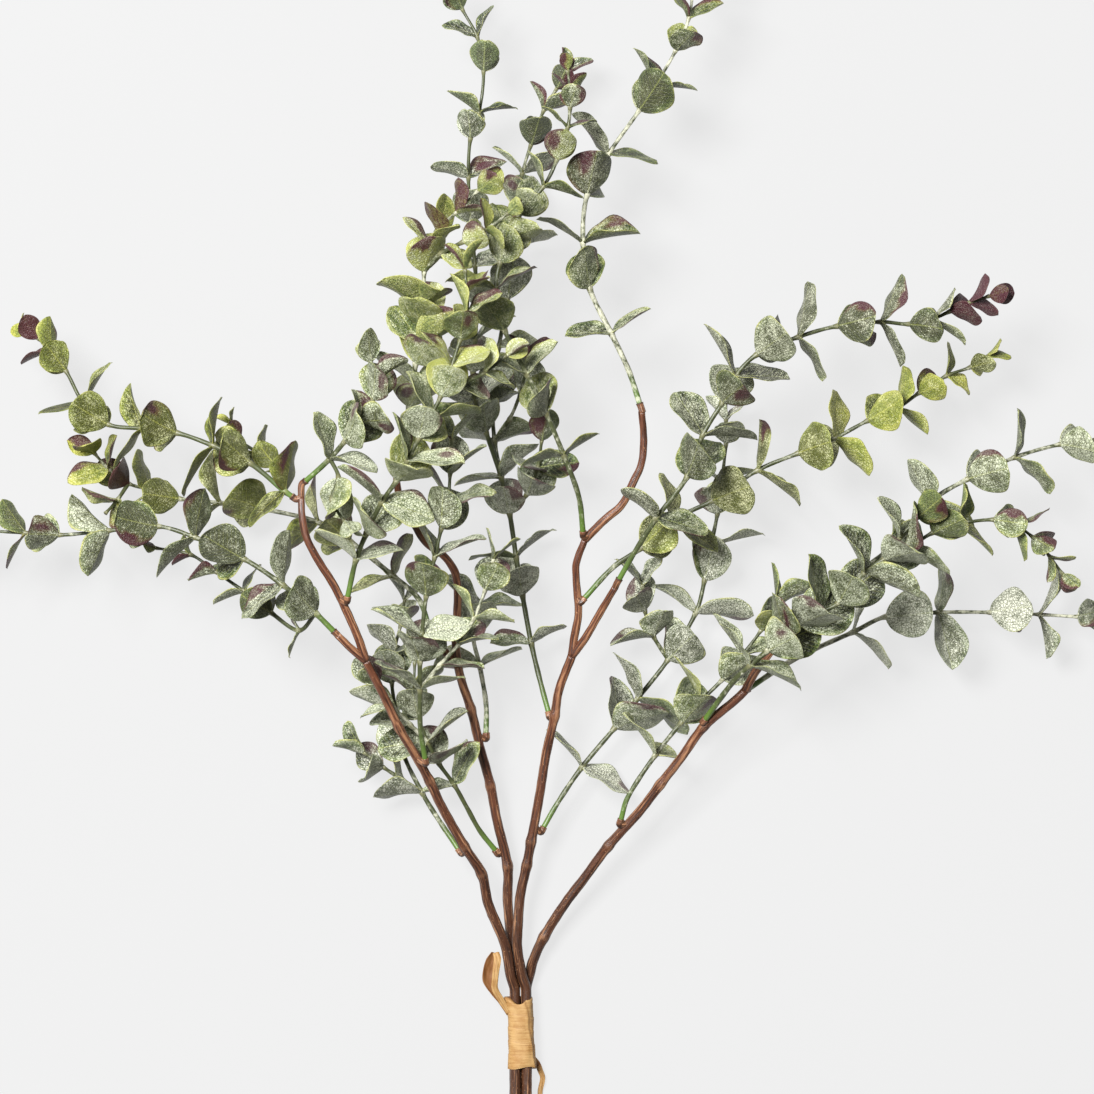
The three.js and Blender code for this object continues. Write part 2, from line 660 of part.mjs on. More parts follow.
// A square twig. Each leaf node is a short stretch of it, and a blade grows from one of its four facets.
function twigSolid(line, isSide, owner) {
  const route = twigRoute(line, isSide);
  const radii = twigRadii(route, isSide);
  const pairs = leavesOf(line, owner);
  const points = [];
  const triangles = [];
  const rings = [];
  const addRing = (centre, along, radius) => {
    const side = along.clone().cross(up).normalize();
    const over = along.clone().cross(side);
    rings.push([0, 1, 2, 3].map((corner) => {
      const angle = Math.PI / 2 * (corner - 0.5);
      points.push(centre.clone()
        .addScaledVector(side, radius * Math.cos(angle))
        .addScaledVector(over, radius * Math.sin(angle)));
      return points.length - 1;
    }));
  };
  const quad = (a, b, c, d) => triangles.push([a, b, c], [a, c, d]);
  const joinLast = (leaves) => {
    const [low, high] = rings.slice(-2);
    for (let facet = 0; facet < 4; facet += 1) {
      const next = (facet + 1) % 4;
      const leaf = leaves.find((one) => one.facet === facet);
      const root = [[high[facet], high[next]], [low[facet], low[next]]];
      if (leaf) addBlade(points, triangles, leaf, root);
      else quad(low[facet], low[next], high[next], high[facet]);
    }
  };
  route.forEach((centre, index) => {
    const along = tangentAt(route, index);
    const isNode = pairs.has(index);
    addRing(centre.clone().addScaledVector(along, isNode ? -nodeHalf : 0), along, radii[index]);
    if (index > 0) joinLast([]);
    if (isNode) {
      addRing(centre.clone().addScaledVector(along, nodeHalf), along, radii[index]);
      joinLast(pairs.get(index));
    }
  });
  const [first, last] = [rings[0], rings.at(-1)];
  quad(first[3], first[2], first[1], first[0]);
  quad(last[0], last[1], last[2], last[3]);
  return solidFrom(points, triangles);
}

function buildSpray(spray) {
  const twigs = spray.lines.map((line, number) => twigSolid(line, number > 0, spray.name));
  return meshOf(wasm.Manifold.union(twigs), spray.name, spray.tint);
}

// The raffia tie: a flat-bottomed wrap round the four stems, with a loop on one side and a tail

function wrapRing(along, middle, half, low, high, corner) {
  const outline = [
    [half - corner, low], [half, low + corner], [half, high - corner], [half - corner, high],
    [corner - half, high], [-half, high - corner], [-half, low + corner], [corner - half, low],
  ];
  return outline.map(([x, z]) => new THREE.Vector3(middle + x, along, z));
}

function buildTie() {
  // Each: place along the bundle, middle and half of the width. It leans a little to the loop at its top.
  const flare = [[tieBottom, 0.85, 7], [-15, 0.7, 6.6], [-5, 0.3, 6.15], [4, 0.1, 6.15], [9, -0.5, 6.45],
    [tieTop, -1.1, 7.1]];
  const outer = joinRings(flare.toReversed().map(([along, middle, half]) =>
    wrapRing(along, middle, half, 0, tieHeight, tieCorner)));
  const inner = joinRings([tieTop + 2, tieBottom - 2].map((along) =>
    wrapRing(along, 0, tieInnerHalf, tieWall, tieHeight - tieWall, tieInnerCorner)));
  const loopFront = strip([[-5.4, 6.5, 9], [-9.2, 12.6, 10.6], [-12.4, 18, 12.2], [-12.6, 23, 13.6],
    [-12.2, 28, 14.2], [-11.6, 32, 13.6], [-11.6, 34.8, 12.6]].map(toVector),
  [2.8, 3, 3.4, 4.4, 5, 4.6, 3.4], [10, 10, 10, 5, 0, 0, 0]);
  const loopBack = strip([[-5.4, 6, 8.2], [-9.4, 12.2, 9.6], [-13, 17, 10.6], [-15.6, 22, 11],
    [-15.4, 26.5, 11.2], [-13.8, 31, 11.6], [-11.9, 34.6, 12.4]].map(toVector),
  [2.2, 2.4, 3, 4.6, 5, 5, 3.6], [5, 5, 0, -5, -10, -5, 0]);
  const tail = strip([[5.4, -14.5, 4.2], [7.9, -17.6, 3.4], [9.3, -21, 2.4], [10.4, -24.5, 1.5],
    [9.2, -31, 0.9], [9.2, -44, 0.8]].map(toVector), [3, 2.8, 2.6, 2.4, 2.4, 1.6], [25, 20, 12, 5, 0, 0]);
  const ribbons = loopFront.add(loopBack).add(tail);
  return meshOf(outer.add(ribbons).subtract(inner), "raffia_tie", "raffia");
}

const bundle = new THREE.Group();
stems.forEach((stem, number) => bundle.add(buildStem(stem, number)));
sprays.forEach((spray) => bundle.add(buildSpray(spray)));
bundle.add(buildTie());

export default bundle;
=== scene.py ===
import math
import random

import bpy
import numpy as np
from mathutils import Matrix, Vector


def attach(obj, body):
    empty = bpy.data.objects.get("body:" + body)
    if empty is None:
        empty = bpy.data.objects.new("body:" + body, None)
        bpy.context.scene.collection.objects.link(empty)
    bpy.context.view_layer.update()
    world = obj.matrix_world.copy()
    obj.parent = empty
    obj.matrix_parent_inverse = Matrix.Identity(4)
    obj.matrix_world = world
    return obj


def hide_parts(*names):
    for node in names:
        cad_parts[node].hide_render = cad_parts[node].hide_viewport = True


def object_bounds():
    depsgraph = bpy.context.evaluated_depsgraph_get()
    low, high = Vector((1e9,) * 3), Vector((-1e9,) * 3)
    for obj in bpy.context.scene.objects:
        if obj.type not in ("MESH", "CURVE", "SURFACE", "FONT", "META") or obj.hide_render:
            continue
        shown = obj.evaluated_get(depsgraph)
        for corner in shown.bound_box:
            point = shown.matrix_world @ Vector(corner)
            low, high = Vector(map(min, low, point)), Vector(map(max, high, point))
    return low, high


# A tied bundle of eucalyptus sprays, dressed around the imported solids. The routes, the leaf rule and its
# draws repeat the part's source in millimetres, so every leaf grows where its solid one does. Meshes are in
# metres.

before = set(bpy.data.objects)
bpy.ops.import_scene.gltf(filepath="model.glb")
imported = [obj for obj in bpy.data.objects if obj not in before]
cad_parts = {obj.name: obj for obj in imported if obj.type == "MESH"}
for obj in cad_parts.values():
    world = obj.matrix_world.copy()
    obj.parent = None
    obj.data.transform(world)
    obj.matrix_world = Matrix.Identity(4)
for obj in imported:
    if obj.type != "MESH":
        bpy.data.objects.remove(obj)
cadLow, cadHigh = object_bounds()
print("frame loaded,", len(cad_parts), "solids")

mm = 0.001
up = np.array([0.0, 0.0, 1.0])


def mix(a, b, share):
    return a + (b - a) * share


def unit(vector):
    return vector / math.sqrt(vector @ vector)


def ease(value):  # 0 to 1, slow at both ends
    t = np.clip(value, 0, 1)
    return t * t * (3 - 2 * t)


# Camera: straight down on the pile

cameraSet = {
    "framePixels": 1094,
    "mmPerPixel": 0.46,  # at the middle height of the pile
    "middleHeight": 60,
    "distance": 3000,
    "tiePixel": (520, 1035),  # where the frame shows the origin, under the tie
    "sensor": 36,
    "clip": (0.1, 20),  # metres
}


def makeCamera(settings):
    scale = settings["mmPerPixel"]
    half = settings["framePixels"] / 2
    data = bpy.data.cameras.new("bundleCamera")
    data.sensor_width = settings["sensor"]
    data.lens = settings["sensor"] * settings["distance"] / (settings["framePixels"] * scale)
    camera = bpy.data.objects.new("bundleCamera", data)
    camera.location = (
        (half - settings["tiePixel"][0]) * scale * mm,
        (settings["tiePixel"][1] - half) * scale * mm,
        (settings["middleHeight"] + settings["distance"]) * mm,
    )
    data.clip_start, data.clip_end = settings["clip"]
    bpy.context.scene.collection.objects.link(camera)
    bpy.context.scene.camera = camera


makeCamera(cameraSet)

# Routes. Stems: the first line is the trunk from its cut end up, the others leave from its last point.

stemSet = {
    "radiusAtTie": 2.5,
    "radiusAtFork": 2,
    "radiusAtEnd": 1.6,
    "knuckleSwell": 1.18,
    "stubRadius": 1.75,
    "stubStraight": 3,
    "stubDepth": 0.8,
    "buttGap": 0.3,
    "bundleLow": 3.5,
    "bundleHigh": 8.7,
    "bundleHalf": 2.65,
}

bundleLow, bundleHigh, bundleHalf = stemSet["bundleLow"], stemSet["bundleHigh"], stemSet["bundleHalf"]

stems = [
    {
        "name": "stem_left",
        "lines": [
            [[-bundleHalf, -86, bundleHigh], [-bundleHalf, 17, bundleHigh], [-4.6, 24, 10.2], [-7, 38, 12],
             [-15, 58, 16], [-18, 72, 20], [-26, 85, 25], [-37, 105, 32], [-42, 116, 36], [-49, 129, 41],
             [-56, 141, 46], [-62, 154, 50], [-71, 172, 56]],
            [[-71, 172, 56], [-75, 184, 59], [-85, 206, 64], [-93, 219, 66], [-98, 229, 67], [-100, 239, 67],
             [-100.4, 247.5, 66]],
            [[-71, 172, 56], [-78, 178, 58], [-84, 184, 60]],
        ],
        "knuckles": [5, 6, 8, 10],
    },
    {
        "name": "stem_middle_left",
        "lines": [
            [[-bundleHalf, -81, bundleLow], [-bundleHalf, 17, bundleLow], [-2, 24, 4], [-4, 38, 4.6],
             [-6, 59, 7],
             [-6, 75, 9], [-11, 97, 12], [-14, 113, 15], [-19, 132, 19], [-23, 149, 22], [-27, 161, 25],
             [-29, 169, 27]],
            [[-29, 169, 27], [-30, 181, 30], [-29, 200, 34], [-30, 212, 37], [-35, 220, 39], [-44, 227, 41],
             [-50, 237, 44], [-56, 249, 46], [-57, 260, 48], [-55, 272, 51]],
            [[-29, 169, 27], [-36, 177, 28], [-40, 182, 29]],
        ],
        "knuckles": [5, 7, 9],
    },
    {
        "name": "stem_middle_right",
        "lines": [
            [[bundleHalf, -83, bundleHigh], [bundleHalf, 17, bundleHigh], [0.7, 24, 9.4], [-1.5, 38, 11],
             [-1, 50, 12], [0, 62, 13], [3, 76, 15], [5, 87, 17], [9, 109, 20], [12, 128, 23], [16, 146, 27],
             [18, 158, 29], [24, 174, 33]],
            [[24, 174, 33], [25, 182, 34], [27, 194, 37], [26, 209, 39], [26, 217, 41], [30, 228, 43]],
            [[24, 174, 33], [30, 182, 36], [37, 194, 40], [44, 206, 45]],
            [[30, 228, 43], [39, 237, 46], [47, 244, 48], [52, 254, 50], [56, 263, 51], [57, 275, 52],
             [56, 287, 54]],
        ],
        "knuckles": [6, 7, 10],
    },
    {
        "name": "stem_right",
        "lines": [
            [[bundleHalf, -88, bundleLow], [bundleHalf, 17, bundleLow], [4.2, 24, 4.2], [6, 31, 6],
             [11, 42, 8],
             [21, 58, 12], [30, 70, 15], [41, 85, 19], [56, 102, 24], [65, 114, 28], [75, 127, 32],
             [85, 141, 36], [100, 154, 42], [104, 158, 43]],
            [[104, 158, 43], [109, 167, 46], [118, 179, 50], [128, 191, 54], [140, 199, 56]],
        ],
        "knuckles": [4, 7, 9, 11],
    },
]

# Sprays, the ones nearest the top of the pile first. Each point of a line is a leaf node, but for the first
# "bare" ones. A pair of leaves stands a quarter turn from the pair before it, and "turn" sets the first
# pair. "look" moves the leaves' colours: tone from blue-green to yellow-green, frost is wax bloom, purple
# is blotches.

sprays = [
    {
        "name": "spray_centre_front", "stem": 0, "tint": "sage", "look": (0.4, 0.08, 0.55), "lines": [
            {"bare": 1, "turn": 0, "leaf": 26, "tip": 0.6, "route": [
                [-79, 202, 66], [-75, 219, 71], [-70, 231, 77], [-63, 245, 82], [-56, 255, 86],
                [-51, 264, 88], [-46, 274, 89], [-41, 283, 90], [-36, 293, 91], [-31, 307, 92],
                [-27, 319, 92], [-24, 331, 92], [-24, 341, 92], [-25, 351, 92]]},
            {"bare": 1, "turn": 90, "leaf": 19, "tip": 0.6, "route": [
                [-36, 293, 91], [-27, 298, 87], [-16, 304, 83], [-6, 312, 80]]},
        ],
    },
    {
        "name": "spray_front_low", "stem": 0, "tint": "sage", "look": (0.02, 0.08, 0.45), "lines": [
            {"bare": 2, "turn": 0, "leaf": 26, "tip": 0.8, "route": [
                [-44, 127, 45], [-46, 141, 52], [-46, 159, 58], [-46, 172, 61], [-45, 184, 64],
                [-43, 202, 67], [-39, 220, 69], [-36, 233, 70], [-33, 245, 70], [-32, 258, 70],
                [-31, 274, 70]]},
            {"bare": 1, "turn": 0, "leaf": 22, "tip": 0.7, "route": [
                [-46, 159, 58], [-37, 170, 60], [-28, 180, 62], [-21, 192, 64], [-16, 205, 65],
                [-12, 219, 66]]},
        ],
    },
    {
        "name": "spray_left_crown", "stem": 0, "tint": "sage", "look": (0.15, 0.08, 0.5), "lines": [
            {"bare": 1, "turn": 0, "leaf": 25, "tip": 0.6, "route": [
                [-98, 255, 67], [-87, 265, 71], [-80, 273, 74], [-72, 282, 77], [-67, 292, 79],
                [-66, 301, 80], [-68, 309, 80]]},
            {"bare": 1, "turn": 90, "leaf": 22, "tip": 0.6, "route": [
                [-87, 265, 71], [-83, 256, 76], [-86, 246, 79], [-80, 236, 81]]},
        ],
    },
    {
        "name": "spray_right_front", "stem": 3, "tint": "sage", "look": (-0.02, 0.06, 0.4), "lines": [
            {"bare": 2, "turn": 0, "leaf": 28, "route": [
                [86, 145, 40], [98, 162, 54], [106, 170, 60], [114, 177, 64], [121, 183, 67],
                [128, 189, 69], [137, 194, 71], [146, 199, 72], [158, 213, 74], [167, 219, 75],
                [176, 223, 75], [189, 231, 75], [201, 235, 74], [217, 237, 73], [226, 235, 72],
                [235, 229, 71], [243, 220, 70], [249, 212, 69]]},
            {"bare": 1, "turn": 0, "leaf": 23, "tip": 0.8, "route": [
                [167, 219, 75], [174, 229, 79], [182, 238, 80]]},
        ],
    },
    {
        "name": "spray_crown_dark", "stem": 2, "tint": "dark", "look": (0.4, 0.05, 0.55), "lines": [
            {"bare": 2, "turn": 0, "leaf": 23, "route": [
                [29, 232, 46], [27, 248, 52], [20, 267, 57], [12, 286, 61], [3, 304, 66], [-7, 324, 69],
                [-11, 343, 70], [-9, 355, 70], [-5, 366, 70], [0, 377, 70], [11, 390, 70], [17, 402, 70],
                [22, 417, 71], [23, 426, 72], [23, 433, 72], [22, 443, 72]]},
        ],
    },
    {
        "name": "spray_crown_left", "stem": 1, "tint": "sage", "look": (0.5, 0.08, 0.65), "lines": [
            {"bare": 1, "turn": 90, "leaf": 26, "tip": 0.55, "route": [
                [-54, 277, 52], [-51, 289, 55], [-49, 300, 58], [-48, 309, 60], [-46, 317, 61],
                [-45, 326, 62], [-44, 336, 63], [-44, 351, 64], [-42, 361, 65], [-38, 370, 66],
                [-29, 378, 69], [-19, 388, 72]]},
            {"bare": 1, "turn": 0, "leaf": 17, "tip": 0.6, "route": [
                [-44, 351, 64], [-36, 359, 72], [-26, 364, 77], [-15, 370, 80], [-5, 377, 82]]},
        ],
    },
    {
        "name": "spray_left_high", "stem": 0, "tint": "bright", "look": (-0.12, 0.02, 0.5), "lines": [
            {"bare": 1, "turn": 0, "leaf": 26, "route": [
                [-105, 248, 66], [-108, 250, 66], [-124, 263, 66], [-141, 271, 64], [-158, 277, 60],
                [-174, 279, 57], [-190, 281, 54], [-201, 290, 50], [-210, 306, 46], [-217, 315, 43],
                [-223, 321, 40], [-228, 324, 39]]},
            {"bare": 1, "turn": 90, "leaf": 15, "route": [
                [-108, 250, 66], [-113, 262, 52], [-121, 268, 46], [-130, 274, 42], [-134, 282, 40]]},
        ],
    },
    {
        "name": "spray_left_low", "stem": 0, "tint": "sage", "look": (-0.1, 0.02, 0.45), "lines": [
            {"bare": 1, "turn": 90, "leaf": 26, "tip": 0.6, "route": [
                [-86, 186, 60], [-94, 194, 61], [-109, 207, 62], [-127, 219, 60], [-150, 229, 56],
                [-167, 234, 53], [-190, 232, 50], [-213, 230, 47], [-229, 231, 45], [-244, 232, 43],
                [-256, 234, 42], [-264, 237, 41]]},
            {"bare": 1, "turn": 0, "leaf": 16, "route": [
                [-94, 194, 61], [-102, 186, 52], [-115, 194, 45], [-128, 204, 41], [-141, 213, 38],
                [-153, 221, 36], [-169, 224, 35]]},
        ],
    },
    {
        "name": "spray_right_high", "stem": 2, "tint": "dark", "look": (-0.1, 0.04, 0.35), "lines": [
            {"bare": 2, "turn": 0, "leaf": 27, "tip": 0.45, "route": [
                [46, 210, 47], [54, 224, 52], [63, 238, 57], [77, 257, 61], [84, 276, 64], [93, 291, 65],
                [99, 303, 65], [109, 313, 65], [128, 321, 64], [146, 326, 63], [166, 328, 61],
                [179, 327, 60], [189, 329, 59], [198, 333, 59], [207, 337, 59], [216, 340, 59]]},
        ],
    },
    {
        "name": "spray_top_right", "stem": 2, "tint": "dark", "look": (0.05, 0.05, 0.3), "lines": [
            {"bare": 2, "turn": 0, "leaf": 25, "tip": 0.5, "route": [
                [55, 291, 54], [50, 306, 54], [42, 323, 54], [32, 344, 53], [29, 365, 52], [31, 387, 51],
                [41, 406, 50], [55, 426, 50], [62, 437, 50], [72, 454, 49], [78, 469, 48], [80, 483, 47],
                [82, 495, 46]]},
        ],
    },
    {
        "name": "spray_far_right_high", "stem": 3, "tint": "sage", "look": (-0.05, 0.12, 0.25), "lines": [
            {"bare": 2, "turn": 90, "leaf": 25, "tip": 0.6, "route": [
                [143, 201, 56], [158, 214, 54], [172, 225, 52], [189, 245, 49], [207, 256, 46],
                [229, 266, 44], [250, 272, 42], [266, 274, 41], [280, 274, 40], [292, 276, 39]]},
        ],
    },
    {
        "name": "spray_right_bright", "stem": 2, "tint": "bright", "look": (-0.25, 0.25, 0.15), "lines": [
            {"bare": 2, "turn": 90, "leaf": 26, "route": [
                [30, 201, 39], [43, 215, 38], [56, 224, 37], [71, 237, 37], [89, 246, 37], [110, 260, 38],
                [129, 268, 39], [146, 275, 39], [161, 283, 39], [175, 289, 38], [185, 296, 37],
                [198, 304, 36], [209, 308, 35], [217, 313, 35]]},
        ],
    },
    {
        "name": "spray_fork_short", "stem": 3, "tint": "sage", "look": (0.15, 0.0, 0.25), "lines": [
            {"bare": 2, "turn": 0, "leaf": 26, "tip": 0.75, "route": [
                [47, 98, 24], [50, 108, 26], [63, 128, 28], [75, 143, 29], [84, 153, 30], [94, 163, 30],
                [103, 174, 30], [112, 186, 31], [119, 198, 32]]},
        ],
    },
    {
        "name": "spray_back_mid", "stem": 1, "tint": "sage", "look": (-0.1, 0.1, 0.3), "lines": [
            {"bare": 3, "turn": 0, "leaf": 24, "tip": 0.6, "route": [
                [-12, 83, 10], [-19, 92, 13], [-25, 103, 17], [-31, 114, 22], [-38, 124, 27],
                [-43, 134, 30], [-47, 145, 32], [-49, 157, 33], [-49, 171, 33]]},
            {"bare": 1, "turn": 90, "leaf": 19, "tip": 0.8, "route": [
                [-43, 134, 30], [-51, 142, 36], [-59, 151, 40], [-66, 161, 42]]},
        ],
    },
    {
        "name": "spray_left_middle", "stem": 1, "tint": "bright", "look": (-0.2, 0.1, 0.5), "lines": [
            {"bare": 2, "turn": 0, "leaf": 25, "tip": 0.68, "route": [
                [-42, 185, 29], [-47, 200, 31], [-59, 211, 32], [-79, 227, 30], [-94, 236, 27],
                [-119, 242, 24], [-140, 245, 22], [-159, 247, 22], [-172, 251, 25], [-182, 254, 31],
                [-191, 261, 38], [-197, 268, 45]]},
            {"bare": 1, "turn": 0, "leaf": 18, "tip": 0.8, "route": [
                [-182, 254, 31], [-187, 246, 36], [-192, 240, 41]]},
        ],
    },
    {
        "name": "spray_back_tall", "stem": 2, "tint": "frosted", "look": (-0.02, 0.0, 0.35), "lines": [
            {"bare": 2, "turn": 0, "leaf": 23, "tip": 0.6, "route": [
                [13, 148, 25], [9, 163, 22], [5, 180, 20], [1, 202, 19], [-2, 220, 19], [-5, 240, 20],
                [-9, 257, 21], [-16, 278, 23], [-21, 293, 26], [-22, 306, 29], [-21, 321, 31],
                [-20, 337, 33], [-21, 355, 35], [-23, 375, 36], [-24, 396, 37], [-23, 414, 38],
                [-19, 426, 38], [-17, 445, 38], [-20, 461, 38], [-27, 474, 37], [-33, 487, 36],
                [-36, 500, 36]]},
            {"bare": 1, "turn": 0, "leaf": 23, "tip": 0.5, "route": [
                [-9, 257, 21], [-12, 274, 19], [-13, 292, 18], [-10, 318, 18], [-6, 340, 18], [-5, 363, 18],
                [-2, 383, 19], [1, 399, 20], [5, 412, 21], [11, 428, 22], [17, 438, 23], [22, 446, 24]]},
            {"bare": 1, "turn": 90, "leaf": 22, "tip": 0.7, "route": [
                [-5, 240, 20], [3, 249, 25], [8, 261, 29], [10, 274, 32]]},
            {"bare": 1, "turn": 0, "leaf": 23, "tip": 0.7, "route": [
                [-12, 274, 19], [-5, 284, 24], [0, 296, 28], [3, 308, 31]]},
        ],
    },
    {
        "name": "spray_far_right_low", "stem": 3, "tint": "frosted", "look": (-0.08, 0.03, 0.4), "lines": [
            {"bare": 3, "turn": 0, "leaf": 26, "tip": 0.6, "route": [
                [106, 159, 40], [123, 170, 33], [139, 178, 29], [155, 185, 26], [170, 192, 24],
                [195, 194, 22], [219, 194, 21], [242, 193, 20], [260, 192, 20], [275, 192, 19],
                [288, 193, 19]]},
        ],
    },
    {
        "name": "spray_back_low", "stem": 0, "tint": "frosted", "look": (0.0, 0.05, 0.35), "lines": [
            {"bare": 2, "turn": 0, "leaf": 24, "tip": 0.6, "route": [
                [-29, 84, 21], [-38, 97, 17], [-46, 110, 16], [-55, 129, 15], [-58, 147, 15],
                [-60, 161, 15], [-59, 175, 14], [-56, 188, 14], [-54, 200, 14]]},
            {"bare": 1, "turn": 0, "leaf": 19, "tip": 0.8, "route": [
                [-46, 110, 16], [-55, 116, 20], [-64, 122, 22], [-73, 129, 24]]},
        ],
    },
    {
        "name": "spray_right_low", "stem": 2, "tint": "frosted", "look": (0.08, 0.02, 0.35), "lines": [
            {"bare": 2, "turn": 0, "leaf": 27, "route": [
                [11, 94, 16], [18, 106, 15], [29, 122, 15], [44, 140, 15], [55, 154, 15], [69, 172, 15],
                [82, 194, 15], [86, 209, 15], [89, 225, 15], [92, 240, 15], [94, 255, 15], [96, 273, 15],
                [96, 284, 15], [96, 293, 15]]},
            {"bare": 1, "turn": 0, "leaf": 21, "tip": 0.7, "route": [
                [69, 172, 15], [62, 183, 18], [58, 195, 20], [57, 207, 21]]},
        ],
    },
    {
        "name": "spray_back_short", "stem": 1, "tint": "frosted", "look": (0.0, 0.0, 0.35), "lines": [
            {"bare": 2, "turn": 0, "leaf": 23, "tip": 0.7, "route": [
                [-16, 138, 18], [-16, 151, 17], [-19, 169, 15], [-22, 183, 14], [-19, 197, 14],
                [-14, 209, 14]]},
        ],
    },
]

# Where the leaves go, by the same rule and the same draws as the solids

leafRule = {
    "breadth": 0.9,
    "tipBreadth": 0.76,
    "tipRatio": 0.36,
    "foldDegrees": 13,
    "recurve": 0.09,
    "openDegrees": 68,
    "tipOpenDegrees": 42,
    "faceOpenDegrees": 44,
    "turnJitter": 16,
    "openJitter": 12,
    "rollDegrees": 34,
    "sampleStep": 2,
    "sampleFrom": 3,
    "leafReach": 1.4,
    "roundReach": 0.4,
    "ownReachRatio": 0.8,
    "surfaceClearance": 0.6,
    "solidOutline": ([0, 0.2, 0.5, 0.8, 1], [0, 0.34, 0.5, 0.37, 0]),
    "sizeTries": (1, 0.86, 0.72),
    "turnTries": (0, 14, -14, 28, -28, 42, -42, 56, -56),
    "openTries": (0, -14, 12),
    "tipOpenRatio": 0.7,
    "growthShares": (0.15, 0.5),  # places along a line, and the leaf sizes at its foot and at both of them
    "growthSizes": (0.84, 1, 0.95),
    "sizeJitter": (0.88, 1.08),
    "breadthJitter": (0.93, 1.05),
    "nearRoom": 8,
    "mostMarks": 120000,
    "stemOwners": 1000,  # stems are counted from here, sprays from 0
    "firstDraw": 20,
    "drawFactor": 1664525,
    "drawStep": 1013904223,
    "drawSpan": 4294967296,
    "twigRadiusAtFoot": 1.6,
    "twigRadiusAtTip": 0.8,
    "sideTwigRatio": 0.8,
}

drawn = leafRule["firstDraw"]


def draw(low, high):
    global drawn
    drawn = (drawn * leafRule["drawFactor"] + leafRule["drawStep"]) % leafRule["drawSpan"]
    return low + (high - low) * drawn / leafRule["drawSpan"]


def tangentAt(route, index):
    return unit(route[min(index + 1, len(route) - 1)] - route[max(index - 1, 0)])


# Marks: spots on every rod and placed leaf, with the room that each takes

markPlaces = np.zeros((leafRule["mostMarks"], 3))
markReach = np.zeros(leafRule["mostMarks"])
markOwner = np.zeros(leafRule["mostMarks"], int)
markIsLeaf = np.zeros(leafRule["mostMarks"], bool)
markCount = 0


def takeRoom(places, reach, owner, isLeaf):
    global markCount
    last = markCount + len(places)
    markPlaces[markCount:last] = places
    markReach[markCount:last] = reach
    markOwner[markCount:last] = owner
    markIsLeaf[markCount:last] = isLeaf
    markCount = last


def markRod(route, radii, owner):
    for index in range(len(route) - 1):
        edge = route[index + 1] - route[index]
        steps = math.ceil(math.sqrt(edge @ edge) / leafRule["sampleStep"])
        shares = np.arange(steps + 1) / steps
        reach = mix(radii[index], radii[index + 1], shares) + leafRule["roundReach"]
        takeRoom(route[index] + shares[:, None] * edge, reach, owner, False)


def stemRadii(line, count, knuckles):
    first, last = stemSet["radiusAtTie"], stemSet["radiusAtFork"]
    if line > 0:
        first, last = last, stemSet["radiusAtEnd"]
    radii = mix(first, last, np.arange(count) / (count - 1))
    if line == 0:
        radii[knuckles] *= stemSet["knuckleSwell"]
    return radii


def twigRadii(count, isSide):
    foot = leafRule["twigRadiusAtFoot"] * (leafRule["sideTwigRatio"] if isSide else 1)
    return mix(foot, leafRule["twigRadiusAtTip"], np.arange(count) / (count - 1))


def twigRoute(line, isSide):
    route = np.array(line["route"], float)
    if not isSide:
        route[0] += unit(route[1] - route[0]) * stemSet["buttGap"] / 2
    return route


def leafFrame(node, along, turn, openAngle, roll):
    side = unit(np.cross(along, up))
    out = side * math.cos(turn) + np.cross(side, along) * math.sin(turn)
    length = out * math.sin(openAngle) + along * math.cos(openAngle)
    normal = along * math.sin(openAngle) - out * math.cos(openAngle)
    width = np.cross(length, normal)
    return {
        "node": node,
        "along": along,
        "length": length,
        "normal": normal * math.cos(roll) + width * math.sin(roll),
        "width": width * math.cos(roll) - normal * math.sin(roll),
    }


def solidMarks(size, breadth):  # share of the length and millimetres across, of a leaf's marks
    shares, across = [], []
    reach = leafRule["sampleFrom"]
    while reach < size + leafRule["sampleStep"]:
        share = min(reach / size, 1)
        half = np.interp(share, *leafRule["solidOutline"]) * breadth
        steps = max(math.ceil(2 * half / leafRule["sampleStep"]), 1)
        across.append(mix(-half, half, np.arange(steps + 1) / steps))
        shares.append(np.full(steps + 1, share))
        reach += leafRule["sampleStep"]
    return np.concatenate(shares), np.concatenate(across)


def solidPoints(place, size, shares, across):
    rise = np.abs(across) * math.tan(math.radians(leafRule["foldDegrees"]))
    rise -= leafRule["recurve"] * size * shares * shares
    return (place["node"] + np.outer(shares * size, place["length"]) + np.outer(across, place["width"])
            + np.outer(rise, place["normal"]))


def growth(share, tip):
    first, second = leafRule["growthShares"]
    footSize, fullSize, lateSize = leafRule["growthSizes"]
    if share < first:
        return mix(footSize, fullSize, share / first)
    if share < second:
        return mix(fullSize, lateSize, (share - first) / (second - first))
    return mix(lateSize, tip, (share - second) / (1 - second))


